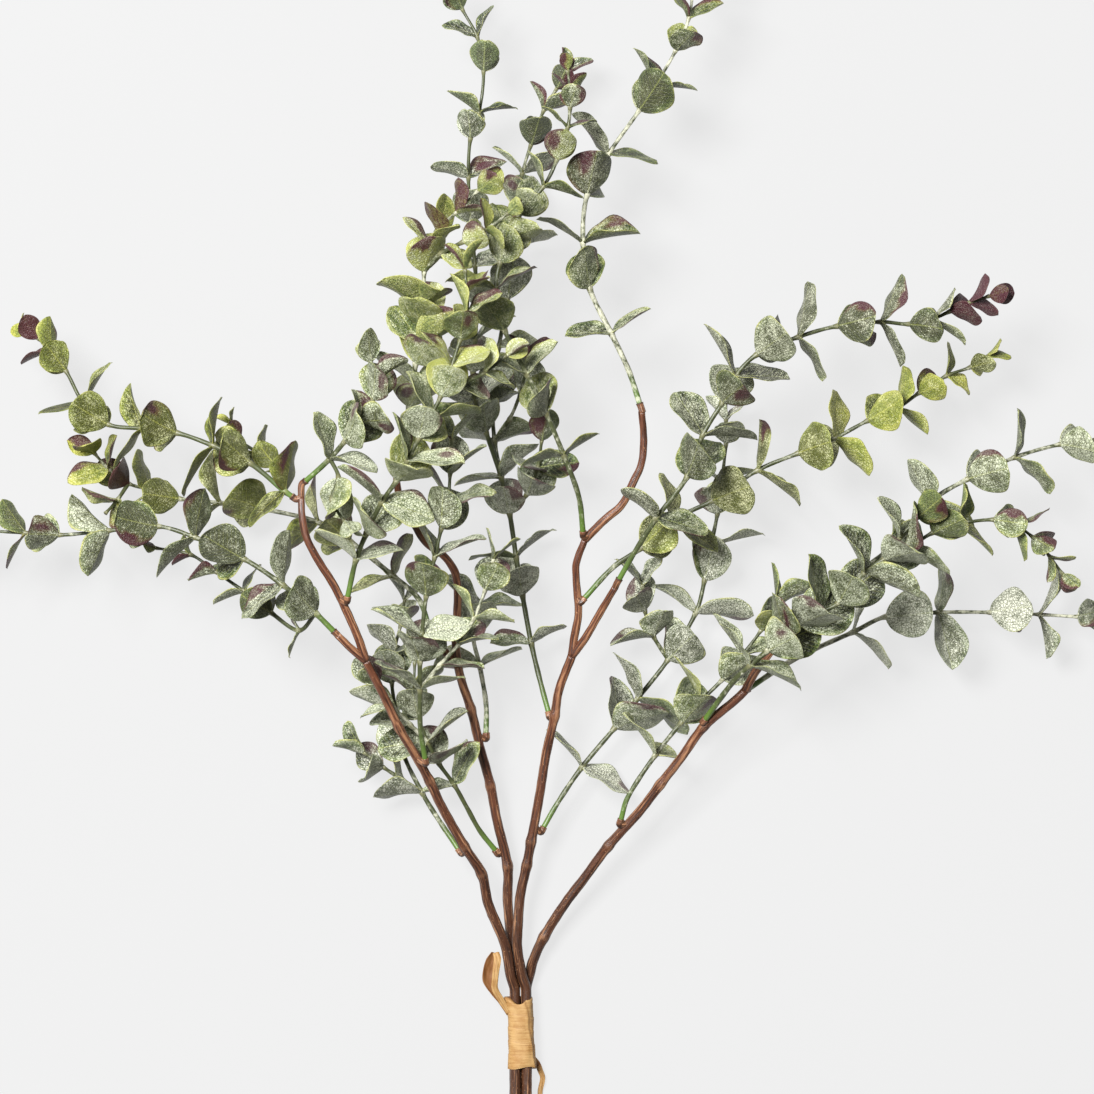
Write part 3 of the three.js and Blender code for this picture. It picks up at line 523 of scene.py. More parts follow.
def placeLeaf(owner, wanted):
    far = wanted["size"] + leafRule["nearRoom"]
    near = markPlaces[:markCount]
    chosen = np.abs(near - wanted["node"]).max(axis=1) < far
    own = markOwner[:markCount] == owner
    chosen &= ~own | markIsLeaf[:markCount]
    near = near[chosen]
    apart = (leafRule["leafReach"] + markReach[:markCount][chosen])
    apart = (apart * np.where(own[chosen], leafRule["ownReachRatio"], 1)) ** 2
    for scale in leafRule["sizeTries"]:
        size = wanted["size"] * scale
        shares, across = solidMarks(size, size * wanted["breadth"])
        for turn in leafRule["turnTries"]:
            for openStep in leafRule["openTries"]:
                place = leafFrame(wanted["node"], wanted["along"], math.radians(wanted["turn"] + turn),
                                  math.radians(wanted["open"] + openStep), math.radians(wanted["roll"]))
                marks = solidPoints(place, size, shares, across)
                if marks[:, 2].min() < leafRule["surfaceClearance"]:
                    continue
                gaps = ((marks[:, None, :] - near[None, :, :]) ** 2).sum(axis=2)
                if not (gaps < apart).any():
                    return {**place, "size": size, "breadth": size * wanted["breadth"], "marks": marks}
    return None


def leavesOf(line, owner):
    route = np.array(line["route"], float)
    count, bare = len(route), line["bare"]
    leaves = []
    for index in range(bare, count):
        share = (index - bare + 0.5) / (count - bare)
        pairTurn = line["turn"] + 90 * (index - bare)
        facing = pairTurn % 180 != 0
        openAngle = leafRule["tipOpenDegrees"] * leafRule["tipOpenRatio"]
        if index < count - 1:
            wide = leafRule["faceOpenDegrees"] if facing else leafRule["openDegrees"]
            openAngle = mix(wide, leafRule["tipOpenDegrees"], share * share)
        pair = []
        for half in (0, 180):
            wanted = {"node": route[index], "along": tangentAt(route, index)}
            wanted["turn"] = pairTurn + half + draw(-leafRule["turnJitter"], leafRule["turnJitter"])
            wanted["open"] = openAngle + draw(-leafRule["openJitter"], leafRule["openJitter"])
            wanted["roll"] = draw(-leafRule["rollDegrees"], leafRule["rollDegrees"])
            grown = growth(share, line.get("tip", leafRule["tipRatio"]))
            wanted["size"] = line["leaf"] * grown * draw(*leafRule["sizeJitter"])
            breadth = mix(leafRule["breadth"], leafRule["tipBreadth"], share)
            wanted["breadth"] = breadth * draw(*leafRule["breadthJitter"])
            leaf = placeLeaf(owner, wanted)
            if leaf is not None:
                pair.append({**leaf, "share": share})
        for leaf in pair:
            takeRoom(leaf.pop("marks"), leafRule["leafReach"], owner, True)
        leaves += pair
    return leaves


stemRoutes = [[np.array(line, float) for line in stem["lines"]] for stem in stems]
for number, stem in enumerate(stems):
    for line, route in enumerate(stemRoutes[number]):
        owner = leafRule["stemOwners"] + number
        markRod(route, stemRadii(line, len(route), stem["knuckles"]), owner)
for owner, spray in enumerate(sprays):
    for number, line in enumerate(spray["lines"]):
        markRod(twigRoute(line, number > 0), twigRadii(len(line["route"]), number > 0), owner)
for owner, spray in enumerate(sprays):
    spray["leaves"] = [leavesOf(line, owner) for line in spray["lines"]]
print("leaves placed:", sum(len(leaves) for spray in sprays for leaves in spray["leaves"]))


# Meshes. "tint" and "place" are read by the materials: tint is three amounts, and place is a spot on the
# surface in millimetres, along and across a leaf and in from its edge, or round and along a rod.

class Shell:
    def __init__(self):
        self.points, self.faces, self.tints, self.places = [], [], [], []
        self.count = 0

    def add(self, points, faces, tints, places):
        self.points.append(points)
        self.faces += [[corner + self.count for corner in face] for face in faces]
        self.tints.append(tints)
        self.places.append(places)
        self.count += len(points)

    def make(self, name, material, node, slot):
        mesh = bpy.data.meshes.new(name)
        points = np.clip(np.concatenate(self.points) * mm, cadLow, cadHigh)
        mesh.from_pydata(points.tolist(), [], self.faces)
        mesh.update()
        mesh.shade_smooth()
        tints = np.concatenate([np.concatenate(self.tints), np.ones((self.count, 1))], axis=1)
        tint = mesh.attributes.new("tint", "FLOAT_COLOR", "POINT")
        tint.data.foreach_set("color", tints.astype(np.float32).ravel())
        place = mesh.attributes.new("place", "FLOAT_VECTOR", "POINT")
        place.data.foreach_set("vector", np.concatenate(self.places).astype(np.float32).ravel())
        mesh.materials.append(material)
        piece = bpy.data.objects.new(name, mesh)
        bpy.context.scene.collection.objects.link(piece)
        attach(piece, "root")
        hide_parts(node)


def gridFaces(rows, columns, closed):
    faces = []
    for row in range(rows - 1):
        for column in range(columns if closed else columns - 1):
            after = (column + 1) % columns
            a, b = row * columns + column, row * columns + after
            faces.append([a, b, b + columns, a + columns])
    return faces


def lengthsOf(points):  # how far along a line each of its points is
    return np.concatenate([[0], np.cumsum(np.linalg.norm(np.diff(points, axis=0), axis=1))])


def unitRows(rows):
    return rows / np.linalg.norm(rows, axis=1)[:, None]


def smoothRoute(route, values, step):  # a curve through every point, sampled about every step millimetres
    edges = np.diff(route, axis=0)
    chords = np.linalg.norm(edges, axis=1)
    slopes = (route[2:] - route[:-2]) / (chords[1:] + chords[:-1])[:, None]
    slopes = np.concatenate([edges[:1] / chords[0], slopes, edges[-1:] / chords[-1]])
    points, amounts, knots = [], [], []
    for index, chord in enumerate(chords):
        count = max(round(chord / step), 2)
        knots.append(len(points))
        for t in np.arange(count) / count:
            bow = chord * t * (1 - t) * ((1 - t) * slopes[index] - t * slopes[index + 1])
            points.append(mix(route[index], route[index + 1], t * t * (3 - 2 * t)) + bow)
            amounts.append(mix(values[index], values[index + 1], t))
    knots.append(len(points))
    points.append(route[-1])
    amounts.append(values[-1])
    return np.array(points), np.array(amounts), knots


def railsOf(points):  # directions along, sideways and over at every point, without twisting
    along = unitRows(np.gradient(points, axis=0))
    side = np.cross(along[0], up)
    side = np.array([1.0, 0, 0]) if side @ side < 0.01 else unit(side)
    sides = []
    for direction in along:
        side = unit(side - direction * (side @ direction))
        sides.append(side)
    sides = np.array(sides)
    return along, sides, np.cross(along, sides)


def addRod(shell, points, radii, sides, relief, tintOf, capDepth):
    along, side, over = railsOf(points)
    length = lengthsOf(points)
    angle = 2 * math.pi * np.arange(sides) / sides
    reach = radii[:, None] + relief(angle[None, :], length[:, None])
    aside, above = reach * np.cos(angle), reach * np.sin(angle)
    rings = (points[:, None, :] + side[:, None, :] * aside[:, :, None]
             + over[:, None, :] * above[:, :, None])
    tints = np.repeat(np.array([tintOf(at) for at in length])[:, None, :], sides, axis=1)
    places = np.stack([aside, above, np.repeat(length[:, None], sides, axis=1)], axis=2)
    ends = [points[0] + capDepth * along[0], points[-1] - capDepth * along[-1]]
    lastRing, first = (len(points) - 1) * sides, len(points) * sides
    faces = gridFaces(len(points), sides, True)
    for column in range(sides):
        after = (column + 1) % sides
        faces.append([first, after, column])
        faces.append([first + 1, lastRing + column, lastRing + after])
    shell.add(np.concatenate([rings.reshape(-1, 3), ends]), faces,
              np.concatenate([tints.reshape(-1, 3), [tints[0, 0], tints[-1, 0]]]),
              np.concatenate([places.reshape(-1, 3), [[0, 0, 0], [0, 0, length[-1]]]]))


# Nodes and colours of the materials

smoothRange = {"interpolation_type": "SMOOTHSTEP"}
colourMix = {"data_type": "RGBA"}
timesPlus = {"operation": "MULTIPLY_ADD"}
times = {"operation": "MULTIPLY"}


def colourOf(code):  # an sRGB hex code as the linear colour that a shader takes
    parts = [int(code[start:start + 2], 16) / 255 for start in (1, 3, 5)]
    return [part / 12.92 if part <= 0.04045 else ((part + 0.055) / 1.055) ** 2.4 for part in parts] + [1.0]


def addNode(tree, kind, settings=None, inputs=None):
    node = tree.nodes.new(kind)
    for key, value in (settings or {}).items():
        setattr(node, key, value)
    for key, value in (inputs or {}).items():
        if isinstance(value, bpy.types.NodeSocket):
            tree.links.new(value, node.inputs[key])
        else:
            node.inputs[key].default_value = value
    return node


def newMaterial(name):
    material = bpy.data.materials.new(name)
    material.use_nodes = True
    material.node_tree.nodes.clear()
    return material, material.node_tree


def meshAmounts(tree):  # the mesh's tint amounts, its place on the surface, and where it is in the object
    tint = addNode(tree, "ShaderNodeAttribute", {"attribute_name": "tint"})
    amounts = addNode(tree, "ShaderNodeSeparateColor", inputs={"Color": tint.outputs["Color"]})
    spot = addNode(tree, "ShaderNodeAttribute", {"attribute_name": "place"})
    where = addNode(tree, "ShaderNodeTexCoord").outputs["Object"]
    return [amounts.outputs[part] for part in ("Red", "Green", "Blue")], spot.outputs["Vector"], where


def finishSkin(tree, skin, roughness, height, settings):
    strength, depthMm = settings["bump"]
    bump = addNode(tree, "ShaderNodeBump", inputs={
        "Strength": strength, "Distance": depthMm * mm, "Height": height})
    shader = addNode(tree, "ShaderNodeBsdfPrincipled", inputs={
        "Base Color": skin, "Roughness": roughness, "Normal": bump.outputs["Normal"], "IOR": settings["ior"]})
    addNode(tree, "ShaderNodeOutputMaterial", inputs={"Surface": shader.outputs["BSDF"]})


# Eucalyptus leaf: a tough leaf with a waxy skin, grown, not made. The wax lies on it as a pale, grainy
# bloom that kills the gloss and rubs off to satin green. The rim is thin and yellow-green, the middle of an
# older leaf goes brown, its edge gets purple blotches, and its underside is paler and dull.

leafLooks = {
    "sage": {"deep": "#1c240d", "fresh": "#52642a", "light": "#a2a656", "bloom": "#d5d9c0",
             "under": "#868b66", "tone": 0.45, "frost": 0.5},
    "bright": {"deep": "#2f350c", "fresh": "#6f7a28", "light": "#a9a94b", "bloom": "#d4d5a8",
               "under": "#8e9450", "tone": 0.52, "frost": 0.32},
    "dark": {"deep": "#151c0a", "fresh": "#445425", "light": "#8c9348", "bloom": "#c6c8b0",
             "under": "#717556", "tone": 0.42, "frost": 0.44},
    "frosted": {"deep": "#1f2812", "fresh": "#566839", "light": "#a0a864", "bloom": "#dddecc",
                "under": "#8b9074", "tone": 0.45, "frost": 0.58},
}

leafSkin = {
    "rim": "#b3b26a",
    "purple": "#48232d",
    "tinge": "#5c3a28",  # brown round the blotches
    "middle": "#4b3029",
    "speck": "#4d3826",
    "noises": {  # mm, detail, roughness
        "patch": (6.0, 3.0, 0.6),
        "mottle": (1.7, 4.0, 0.7),
        "grain": (0.5, 2.0, 0.7),
    },
    "streakMm": 0.8,
    "streakLength": 0.22,  # streaks are drawn out along the leaf by its inverse
    "cellMm": 1.5,  # from one fine vein of the net to the next
    "rimMm": 0.5,
    "rimWander": 0.45,  # how much the mottle moves the rim's border
    "paleMm": 4.0,  # how far in from the rim the green is lighter
    "middleMm": (2.6, 7.0),  # where the brown middle starts and is full
    "veinMm": 2.6,  # from one side vein to the next
    "veinSlope": 0.75,  # how far a side vein climbs for each millimetre across
    "ribMm": 0.3,
    "rootShadeMm": 7.0,  # how far up from its root a leaf has painted shade, as if its shoot shadowed it
    "graze": 0.01,  # mm by which an underside's "place" is marked
    "patchTone": 1.3,
    "mottleTone": 0.9,
    "netTone": -0.26,
    "wax": {"grain": 1.9, "streak": 1.3, "mottle": 0.4, "patch": 1.3},  # what each noise adds to the bloom
    "waxFrom": (2.7, 3.35),  # where bloom starts and is thickest
    "waxMost": 0.88,
    "netKeeps": 0.75,  # how far the net, the blotches and the rim keep off the bloom
    "blotchKeeps": 0.85,
    "rimKeeps": 0.9,
    "bump": (0.9, 0.5),  # strength, mm
    "ior": 1.45,
}


def makeLeafMaterial(name, look):
    material, tree = newMaterial(name)
    (tone, frost, purple), spot, where = meshAmounts(tree)
    place = addNode(tree, "ShaderNodeSeparateXYZ", inputs={"Vector": spot})
    along, across = place.outputs["X"], place.outputs["Y"]
    inward = addNode(tree, "ShaderNodeMath", {"operation": "ABSOLUTE"}, {0: place.outputs["Z"]}).outputs[0]

    noise = {}
    for kind, (size, detail, rough) in leafSkin["noises"].items():
        noise[kind] = addNode(tree, "ShaderNodeTexNoise", inputs={
            "Vector": where, "Scale": 1 / (size * mm), "Detail": detail, "Roughness": rough}).outputs["Fac"]
    drawnOut = addNode(tree, "ShaderNodeVectorMath", times, {
        0: spot, 1: (leafSkin["streakLength"], 1.0, 1.0)})
    noise["streak"] = addNode(tree, "ShaderNodeTexNoise", inputs={
        "Vector": drawnOut.outputs[0], "Scale": 1 / leafSkin["streakMm"], "Detail": 3.0,
        "Roughness": 0.6}).outputs["Fac"]
    cells = addNode(tree, "ShaderNodeTexVoronoi", {"feature": "DISTANCE_TO_EDGE"}, {
        "Vector": spot, "Scale": 1 / leafSkin["cellMm"]})
    net = addNode(tree, "ShaderNodeMapRange", smoothRange, {
        "Value": cells.outputs["Distance"], "From Min": 0.0, "From Max": 0.16, "To Min": 1.0,
        "To Max": 0.0}).outputs[0]

    # Green skin, deeper or yellower by patches, lighter towards the rim, and with painted shade at the root,
    # as if the shoot shadowed it
    toned = addNode(tree, "ShaderNodeMapRange", smoothRange, {
        "Value": inward, "From Min": 0.0, "From Max": leafSkin["paleMm"], "To Min": -0.88,
        "To Max": -1.24}).outputs[0]
    # Painted shade: the green darkens near the root, where the shoot stands
    paintedRootShade = addNode(tree, "ShaderNodeMapRange", smoothRange, {
        "Value": along, "From Min": 0.0, "From Max": leafSkin["rootShadeMm"], "To Min": -0.35, "To Max": 0.0})
    for amount, weight in ((noise["patch"], leafSkin["patchTone"]), (noise["mottle"], leafSkin["mottleTone"]),
                           (net, leafSkin["netTone"]), (tone, 1.0), (paintedRootShade.outputs[0], 1.0)):
        toned = addNode(tree, "ShaderNodeMath", timesPlus, {0: amount, 1: weight, 2: toned}).outputs[0]
    green = addNode(tree, "ShaderNodeValToRGB", inputs={"Fac": toned})
    ramp = green.color_ramp
    ramp.elements[0].position, ramp.elements[0].color = 0.05, colourOf(look["deep"])
    ramp.elements[1].position, ramp.elements[1].color = 0.95, colourOf(look["light"])
    ramp.elements.new(0.5).color = colourOf(look["fresh"])

    # Brown middle, by patches
    inner = addNode(tree, "ShaderNodeMapRange", smoothRange, {
        "Value": inward, "From Min": leafSkin["middleMm"][0], "From Max": leafSkin["middleMm"][1],
        "To Min": 0.0, "To Max": 1.0})
    blush = addNode(tree, "ShaderNodeMapRange", smoothRange, {
        "Value": noise["patch"], "From Min": 0.42, "From Max": 0.62, "To Min": 0.2, "To Max": 0.85})
    brown = addNode(tree, "ShaderNodeMath", times, {0: inner.outputs[0], 1: blush.outputs[0]})

    # Veins: a midrib and side veins that climb towards the tip on both sides
    side = addNode(tree, "ShaderNodeMath", {"operation": "ABSOLUTE"}, {0: across}).outputs[0]
    climb = addNode(tree, "ShaderNodeMath", timesPlus, {0: side, 1: -leafSkin["veinSlope"], 2: along})
    climb = addNode(tree, "ShaderNodeMath", timesPlus, {0: noise["mottle"], 1: 0.9, 2: climb.outputs[0]})
    wave = addNode(tree, "ShaderNodeMath", times, {0: climb.outputs[0], 1: 2 * math.pi / leafSkin["veinMm"]})
    wave = addNode(tree, "ShaderNodeMath", {"operation": "COSINE"}, {0: wave.outputs[0]})
    veins = addNode(tree, "ShaderNodeMapRange", smoothRange, {
        "Value": wave.outputs[0], "From Min": 0.8, "From Max": 1.0, "To Min": 0.0, "To Max": 0.25})
    rib = addNode(tree, "ShaderNodeMapRange", smoothRange, {
        "Value": side, "From Min": leafSkin["ribMm"] * 0.4, "From Max": leafSkin["ribMm"] * 1.6,
        "To Min": 0.5, "To Max": 0.0})
    lines = addNode(tree, "ShaderNodeMath", {"operation": "MAXIMUM"}, {
        0: veins.outputs[0], 1: rib.outputs[0]})

    # Underside: paler and duller
    dull = addNode(tree, "ShaderNodeMapRange", inputs={
        "Value": place.outputs["Z"], "From Min": -leafSkin["graze"], "From Max": 0.0, "To Min": 0.25,
        "To Max": 0.0})

    # Rim: thin and yellow-green, ragged by the mottle and worn away by patches
    ragged = addNode(tree, "ShaderNodeMath", timesPlus, {0: noise["mottle"], 1: 0.9, 2: inward})
    rim = addNode(tree, "ShaderNodeMapRange", smoothRange, {
        "Value": ragged.outputs[0], "From Min": leafSkin["rimWander"],
        "From Max": leafSkin["rimWander"] + leafSkin["rimMm"], "To Min": 1.0, "To Max": 0.0})
    worn = addNode(tree, "ShaderNodeMapRange", smoothRange, {
        "Value": noise["patch"], "From Min": 0.38, "From Max": 0.6, "To Min": 0.15, "To Max": 0.85})
    rim = addNode(tree, "ShaderNodeMath", times, {0: rim.outputs[0], 1: worn.outputs[0]})

    # Purple blotches, with a torn border and brown round them
    broken = addNode(tree, "ShaderNodeMath", timesPlus, {0: noise["mottle"], 1: 0.7, 2: purple})
    blotch = addNode(tree, "ShaderNodeMapRange", smoothRange, {
        "Value": broken.outputs[0], "From Min": 0.74, "From Max": 1.0, "To Min": 0.0, "To Max": 0.9})
    tinge = addNode(tree, "ShaderNodeMapRange", smoothRange, {
        "Value": broken.outputs[0], "From Min": 0.4, "From Max": 0.95, "To Min": 0.0, "To Max": 0.65})

    # Bloom: grains of wax that gather in patches, few on the net, the rim and the blotches
    dusty = frost
    for kind, weight in leafSkin["wax"].items():
        dusty = addNode(tree, "ShaderNodeMath", timesPlus, {0: noise[kind], 1: weight, 2: dusty}).outputs[0]
    wax = addNode(tree, "ShaderNodeMapRange", smoothRange, {
        "Value": dusty, "From Min": leafSkin["waxFrom"][0], "From Max": leafSkin["waxFrom"][1],
        "To Min": 0.0, "To Max": leafSkin["waxMost"]}).outputs[0]
    for cover, share in ((net, leafSkin["netKeeps"]), (blotch.outputs[0], leafSkin["blotchKeeps"]),
                         (rim.outputs[0], leafSkin["rimKeeps"])):
        free = addNode(tree, "ShaderNodeMath", timesPlus, {0: cover, 1: -share, 2: 1.0})
        wax = addNode(tree, "ShaderNodeMath", times, {0: wax, 1: free.outputs[0]}).outputs[0]

    # Small brown specks, and all the layers from the green skin out
    speck = addNode(tree, "ShaderNodeMapRange", smoothRange, {
        "Value": noise["grain"], "From Min": 0.34, "From Max": 0.26, "To Min": 0.0, "To Max": 0.7})
    skin = green.outputs["Color"]
    layers = ((brown, leafSkin["middle"]), (lines, look["light"]), (dull, look["under"]),
              (rim, leafSkin["rim"]), (tinge, leafSkin["tinge"]), (blotch, leafSkin["purple"]))
    for cover, colour in layers:
        skin = addNode(tree, "ShaderNodeMix", colourMix, {
            0: cover.outputs[0], 6: skin, 7: colourOf(colour)}).outputs[2]
    for cover, colour in ((wax, look["bloom"]), (speck.outputs[0], leafSkin["speck"])):
        skin = addNode(tree, "ShaderNodeMix", colourMix, {0: cover, 6: skin, 7: colourOf(colour)}).outputs[2]

    roughness = addNode(tree, "ShaderNodeMapRange", inputs={
        "Value": wax, "From Min": 0.0, "From Max": 0.82, "To Min": 0.4, "To Max": 0.75})
    height = noise["mottle"]
    for amount, weight in ((lines.outputs[0], -0.5), (noise["grain"], 0.5), (net, -0.4)):
        height = addNode(tree, "ShaderNodeMath", timesPlus, {0: amount, 1: weight, 2: height}).outputs[0]
    finishSkin(tree, skin, roughness.outputs[0], height, leafSkin)
    return material


leafMaterials = {tint: makeLeafMaterial("waxyLeaf" + tint.capitalize(), look)
                 for tint, look in leafLooks.items()}

# Young eucalyptus shoot: thin green bark, ribbed, with the same wax, rubbed off on its ridges. It is satin
# where bare, deep green to grey, and bright green where it has just left the wood.

shootSkin = {
    "deep": "#25281a",
    "green": "#555c37",
    "foot": "#5a7a2e",
    "bloom": "#d2d1bb",
    "node": "#8a8662",
    "patchMm": 4.0,
    "mottleMm": 0.9,
    "stretch": 0.35,
    "waxFrom": (1.1, 1.5),
    "waxMost": 0.72,
    "bump": (0.6, 0.2),
    "ior": 1.45,
}


def makeShootMaterial():
    material, tree = newMaterial("waxyShoot")
    (footing, frost, node), spot, where = meshAmounts(tree)
    drawnOut = addNode(tree, "ShaderNodeVectorMath", times, {0: spot, 1: (1.0, 1.0, shootSkin["stretch"])})
    patch = addNode(tree, "ShaderNodeTexNoise", inputs={
        "Vector": where, "Scale": 1 / (shootSkin["patchMm"] * mm), "Detail": 3.0, "Roughness": 0.65})
    mottle = addNode(tree, "ShaderNodeTexNoise", inputs={
        "Vector": drawnOut.outputs[0], "Scale": 1 / shootSkin["mottleMm"], "Detail": 4.0, "Roughness": 0.7})
    dusty = frost
    for noise in (mottle, patch):
        dusty = addNode(tree, "ShaderNodeMath", {"operation": "ADD"}, {
            0: noise.outputs["Fac"], 1: dusty}).outputs[0]
    wax = addNode(tree, "ShaderNodeMapRange", smoothRange, {
        "Value": dusty, "From Min": shootSkin["waxFrom"][0], "From Max": shootSkin["waxFrom"][1],
        "To Min": 0.0, "To Max": shootSkin["waxMost"]}).outputs[0]
    skin = colourOf(shootSkin["deep"])
    for cover, colour in ((patch.outputs["Fac"], "green"), (footing, "foot"), (node, "node"), (wax, "bloom")):
        skin = addNode(tree, "ShaderNodeMix", colourMix, {
            0: cover, 6: skin, 7: colourOf(shootSkin[colour])}).outputs[2]
    roughness = addNode(tree, "ShaderNodeMapRange", inputs={
        "Value": wax, "From Min": 0.0, "From Max": 0.85, "To Min": 0.4, "To Max": 0.8})
    finishSkin(tree, skin, roughness.outputs[0], mottle.outputs["Fac"], shootSkin)
    return material


shootMaterial = makeShootMaterial()

# Smooth eucalyptus bark: thin, tight and polished by its own oils, with fine lengthwise furrows. Its
# highlights are narrow and warm: the gloss gives some, and the ridges are painted pale as highlight. The
# furrows are painted dark as shade, almost black near the cut end, and the young wood above is redder.

barkSkin = {
    # dark: painted shade laid in the furrows
    "dark": "#24130b",
    "low": "#452817",
    "high": "#5f3826",
    # light: painted highlight on the ridges, and the real pale of lenticel dots and knuckle scars
    "light": "#bb8b66",
    "scar": "#2b1910",  # torn skin round a socket
    "furrowMm": 0.8,
    "patchMm": 2.4,
    "speckMm": 0.8,
    "stretch": 0.05,
    "farStretch": 0.035,
    "bump": (0.9, 0.45),
    "ior": 1.5,
}


def makeBarkMaterial():
    material, tree = newMaterial("smoothBark")
    (rise, worn, scarred), spot, where = meshAmounts(tree)
    drawnLong = addNode(tree, "ShaderNodeVectorMath", times, {0: spot, 1: (1.0, 1.0, barkSkin["stretch"])})
    furrow = addNode(tree, "ShaderNodeTexNoise", inputs={
        "Vector": drawnLong.outputs[0], "Scale": 1 / barkSkin["furrowMm"], "Detail": 4.0,
        "Roughness": 0.65}).outputs["Fac"]
    drawnFar = addNode(tree, "ShaderNodeVectorMath", times, {0: spot, 1: (1.0, 1.0, barkSkin["farStretch"])})
    patch = addNode(tree, "ShaderNodeTexNoise", inputs={
        "Vector": drawnFar.outputs[0], "Scale": 1 / barkSkin["patchMm"], "Detail": 4.0, "Roughness": 0.6})
    speck = addNode(tree, "ShaderNodeTexNoise", inputs={
        "Vector": where, "Scale": 1 / (barkSkin["speckMm"] * mm), "Detail": 2.0, "Roughness": 0.5})
    # Painted shade: the furrows, low in the bump, are darkened
    deep = addNode(tree, "ShaderNodeMapRange", smoothRange, {
        "Value": furrow, "From Min": 0.52, "From Max": 0.4, "To Min": 0.0, "To Max": 0.8})
    # Painted highlight: the raised ridges are lightened
    paintedHighlightRidge = addNode(tree, "ShaderNodeMath", {"operation": "ADD"}, {0: furrow, 1: patch.outputs["Fac"]})
    pale = addNode(tree, "ShaderNodeMapRange", smoothRange, {
        "Value": paintedHighlightRidge.outputs[0], "From Min": 1.02, "From Max": 1.26, "To Min": 0.0, "To Max": 0.6})
    dot = addNode(tree, "ShaderNodeMapRange", smoothRange, {
        "Value": speck.outputs["Fac"], "From Min": 0.68, "From Max": 0.74, "To Min": 0.0, "To Max": 0.7})
    marked = addNode(tree, "ShaderNodeMath", {"operation": "MAXIMUM"}, {0: worn, 1: dot.outputs[0]})
    torn = addNode(tree, "ShaderNodeMath", timesPlus, {0: furrow, 1: 0.9, 2: scarred})
    torn = addNode(tree, "ShaderNodeMapRange", smoothRange, {
        "Value": torn.outputs[0], "From Min": 0.75, "From Max": 1.1, "To Min": 0.0, "To Max": 0.85})
    skin = colourOf(barkSkin["low"])
    layers = ((rise, "high"), (deep.outputs[0], "dark"), (pale.outputs[0], "light"),
              (marked.outputs[0], "light"), (torn.outputs[0], "scar"))
    for cover, colour in layers:
        skin = addNode(tree, "ShaderNodeMix", colourMix, {
            0: cover, 6: skin, 7: colourOf(barkSkin[colour])}).outputs[2]
    roughness = addNode(tree, "ShaderNodeMapRange", inputs={
        "Value": furrow, "From Min": 0.3, "From Max": 0.7, "To Min": 0.45, "To Max": 0.24})
    finishSkin(tree, skin, roughness.outputs[0], furrow, barkSkin)
    return material


barkMaterial = makeBarkMaterial()

# Raffia: strips of dried palm leaf, torn along the grain and wound on damp. Dry and matt, straw to honey,
# with fine dark fibres along each strip, and painted shade in its folds.

raffiaSkin = {
    # shade: the colour of the dark fibres, and of the painted shade in the folds
    "shade": "#6b3d14",
    "straw": "#966c37",
    "light": "#b08d5a",
    "fibreMm": 0.45,
    "patchMm": 6.0,
    "stretch": 0.05,
    "roughness": 0.68,
    "bump": (0.7, 0.15),
    "ior": 1.5,
}


def makeRaffiaMaterial():
    material, tree = newMaterial("driedRaffia")
    (paintedShade, _, _), spot, where = meshAmounts(tree)
    drawnLong = addNode(tree, "ShaderNodeVectorMath", times, {0: spot, 1: (1.0, 1.0, raffiaSkin["stretch"])})
    fibre = addNode(tree, "ShaderNodeTexNoise", inputs={
        "Vector": drawnLong.outputs[0], "Scale": 1 / raffiaSkin["fibreMm"], "Detail": 3.0,
        "Roughness": 0.6}).outputs["Fac"]
    patch = addNode(tree, "ShaderNodeTexNoise", inputs={
        "Vector": where, "Scale": 1 / (raffiaSkin["patchMm"] * mm), "Detail": 3.0, "Roughness": 0.6})
    sunned = addNode(tree, "ShaderNodeMath", timesPlus, {0: fibre, 1: 0.6, 2: patch.outputs["Fac"]})
    pale = addNode(tree, "ShaderNodeMapRange", smoothRange, {
        "Value": sunned.outputs[0], "From Min": 0.55, "From Max": 1.0, "To Min": 0.0, "To Max": 1.0})
    dark = addNode(tree, "ShaderNodeMapRange", smoothRange, {
        "Value": fibre, "From Min": 0.42, "From Max": 0.28, "To Min": 0.0, "To Max": 0.55})
    # the dark fibres, and the painted shade that the mesh's tint carries into folds and hollows
    folded = addNode(tree, "ShaderNodeMath", {"operation": "MAXIMUM"}, {0: dark.outputs[0], 1: paintedShade})
    skin = colourOf(raffiaSkin["straw"])
    for cover, colour in ((pale, "light"), (folded, "shade")):
        skin = addNode(tree, "ShaderNodeMix", colourMix, {
            0: cover.outputs[0], 6: skin, 7: colourOf(raffiaSkin[colour])}).outputs[2]
    finishSkin(tree, skin, raffiaSkin["roughness"], fibre, raffiaSkin)
    return material


raffiaMaterial = makeRaffiaMaterial()
print("materials made")

# Leaves: a closed blade with a soft fold along its midrib, a recurved tip, a waved edge and a thin rim

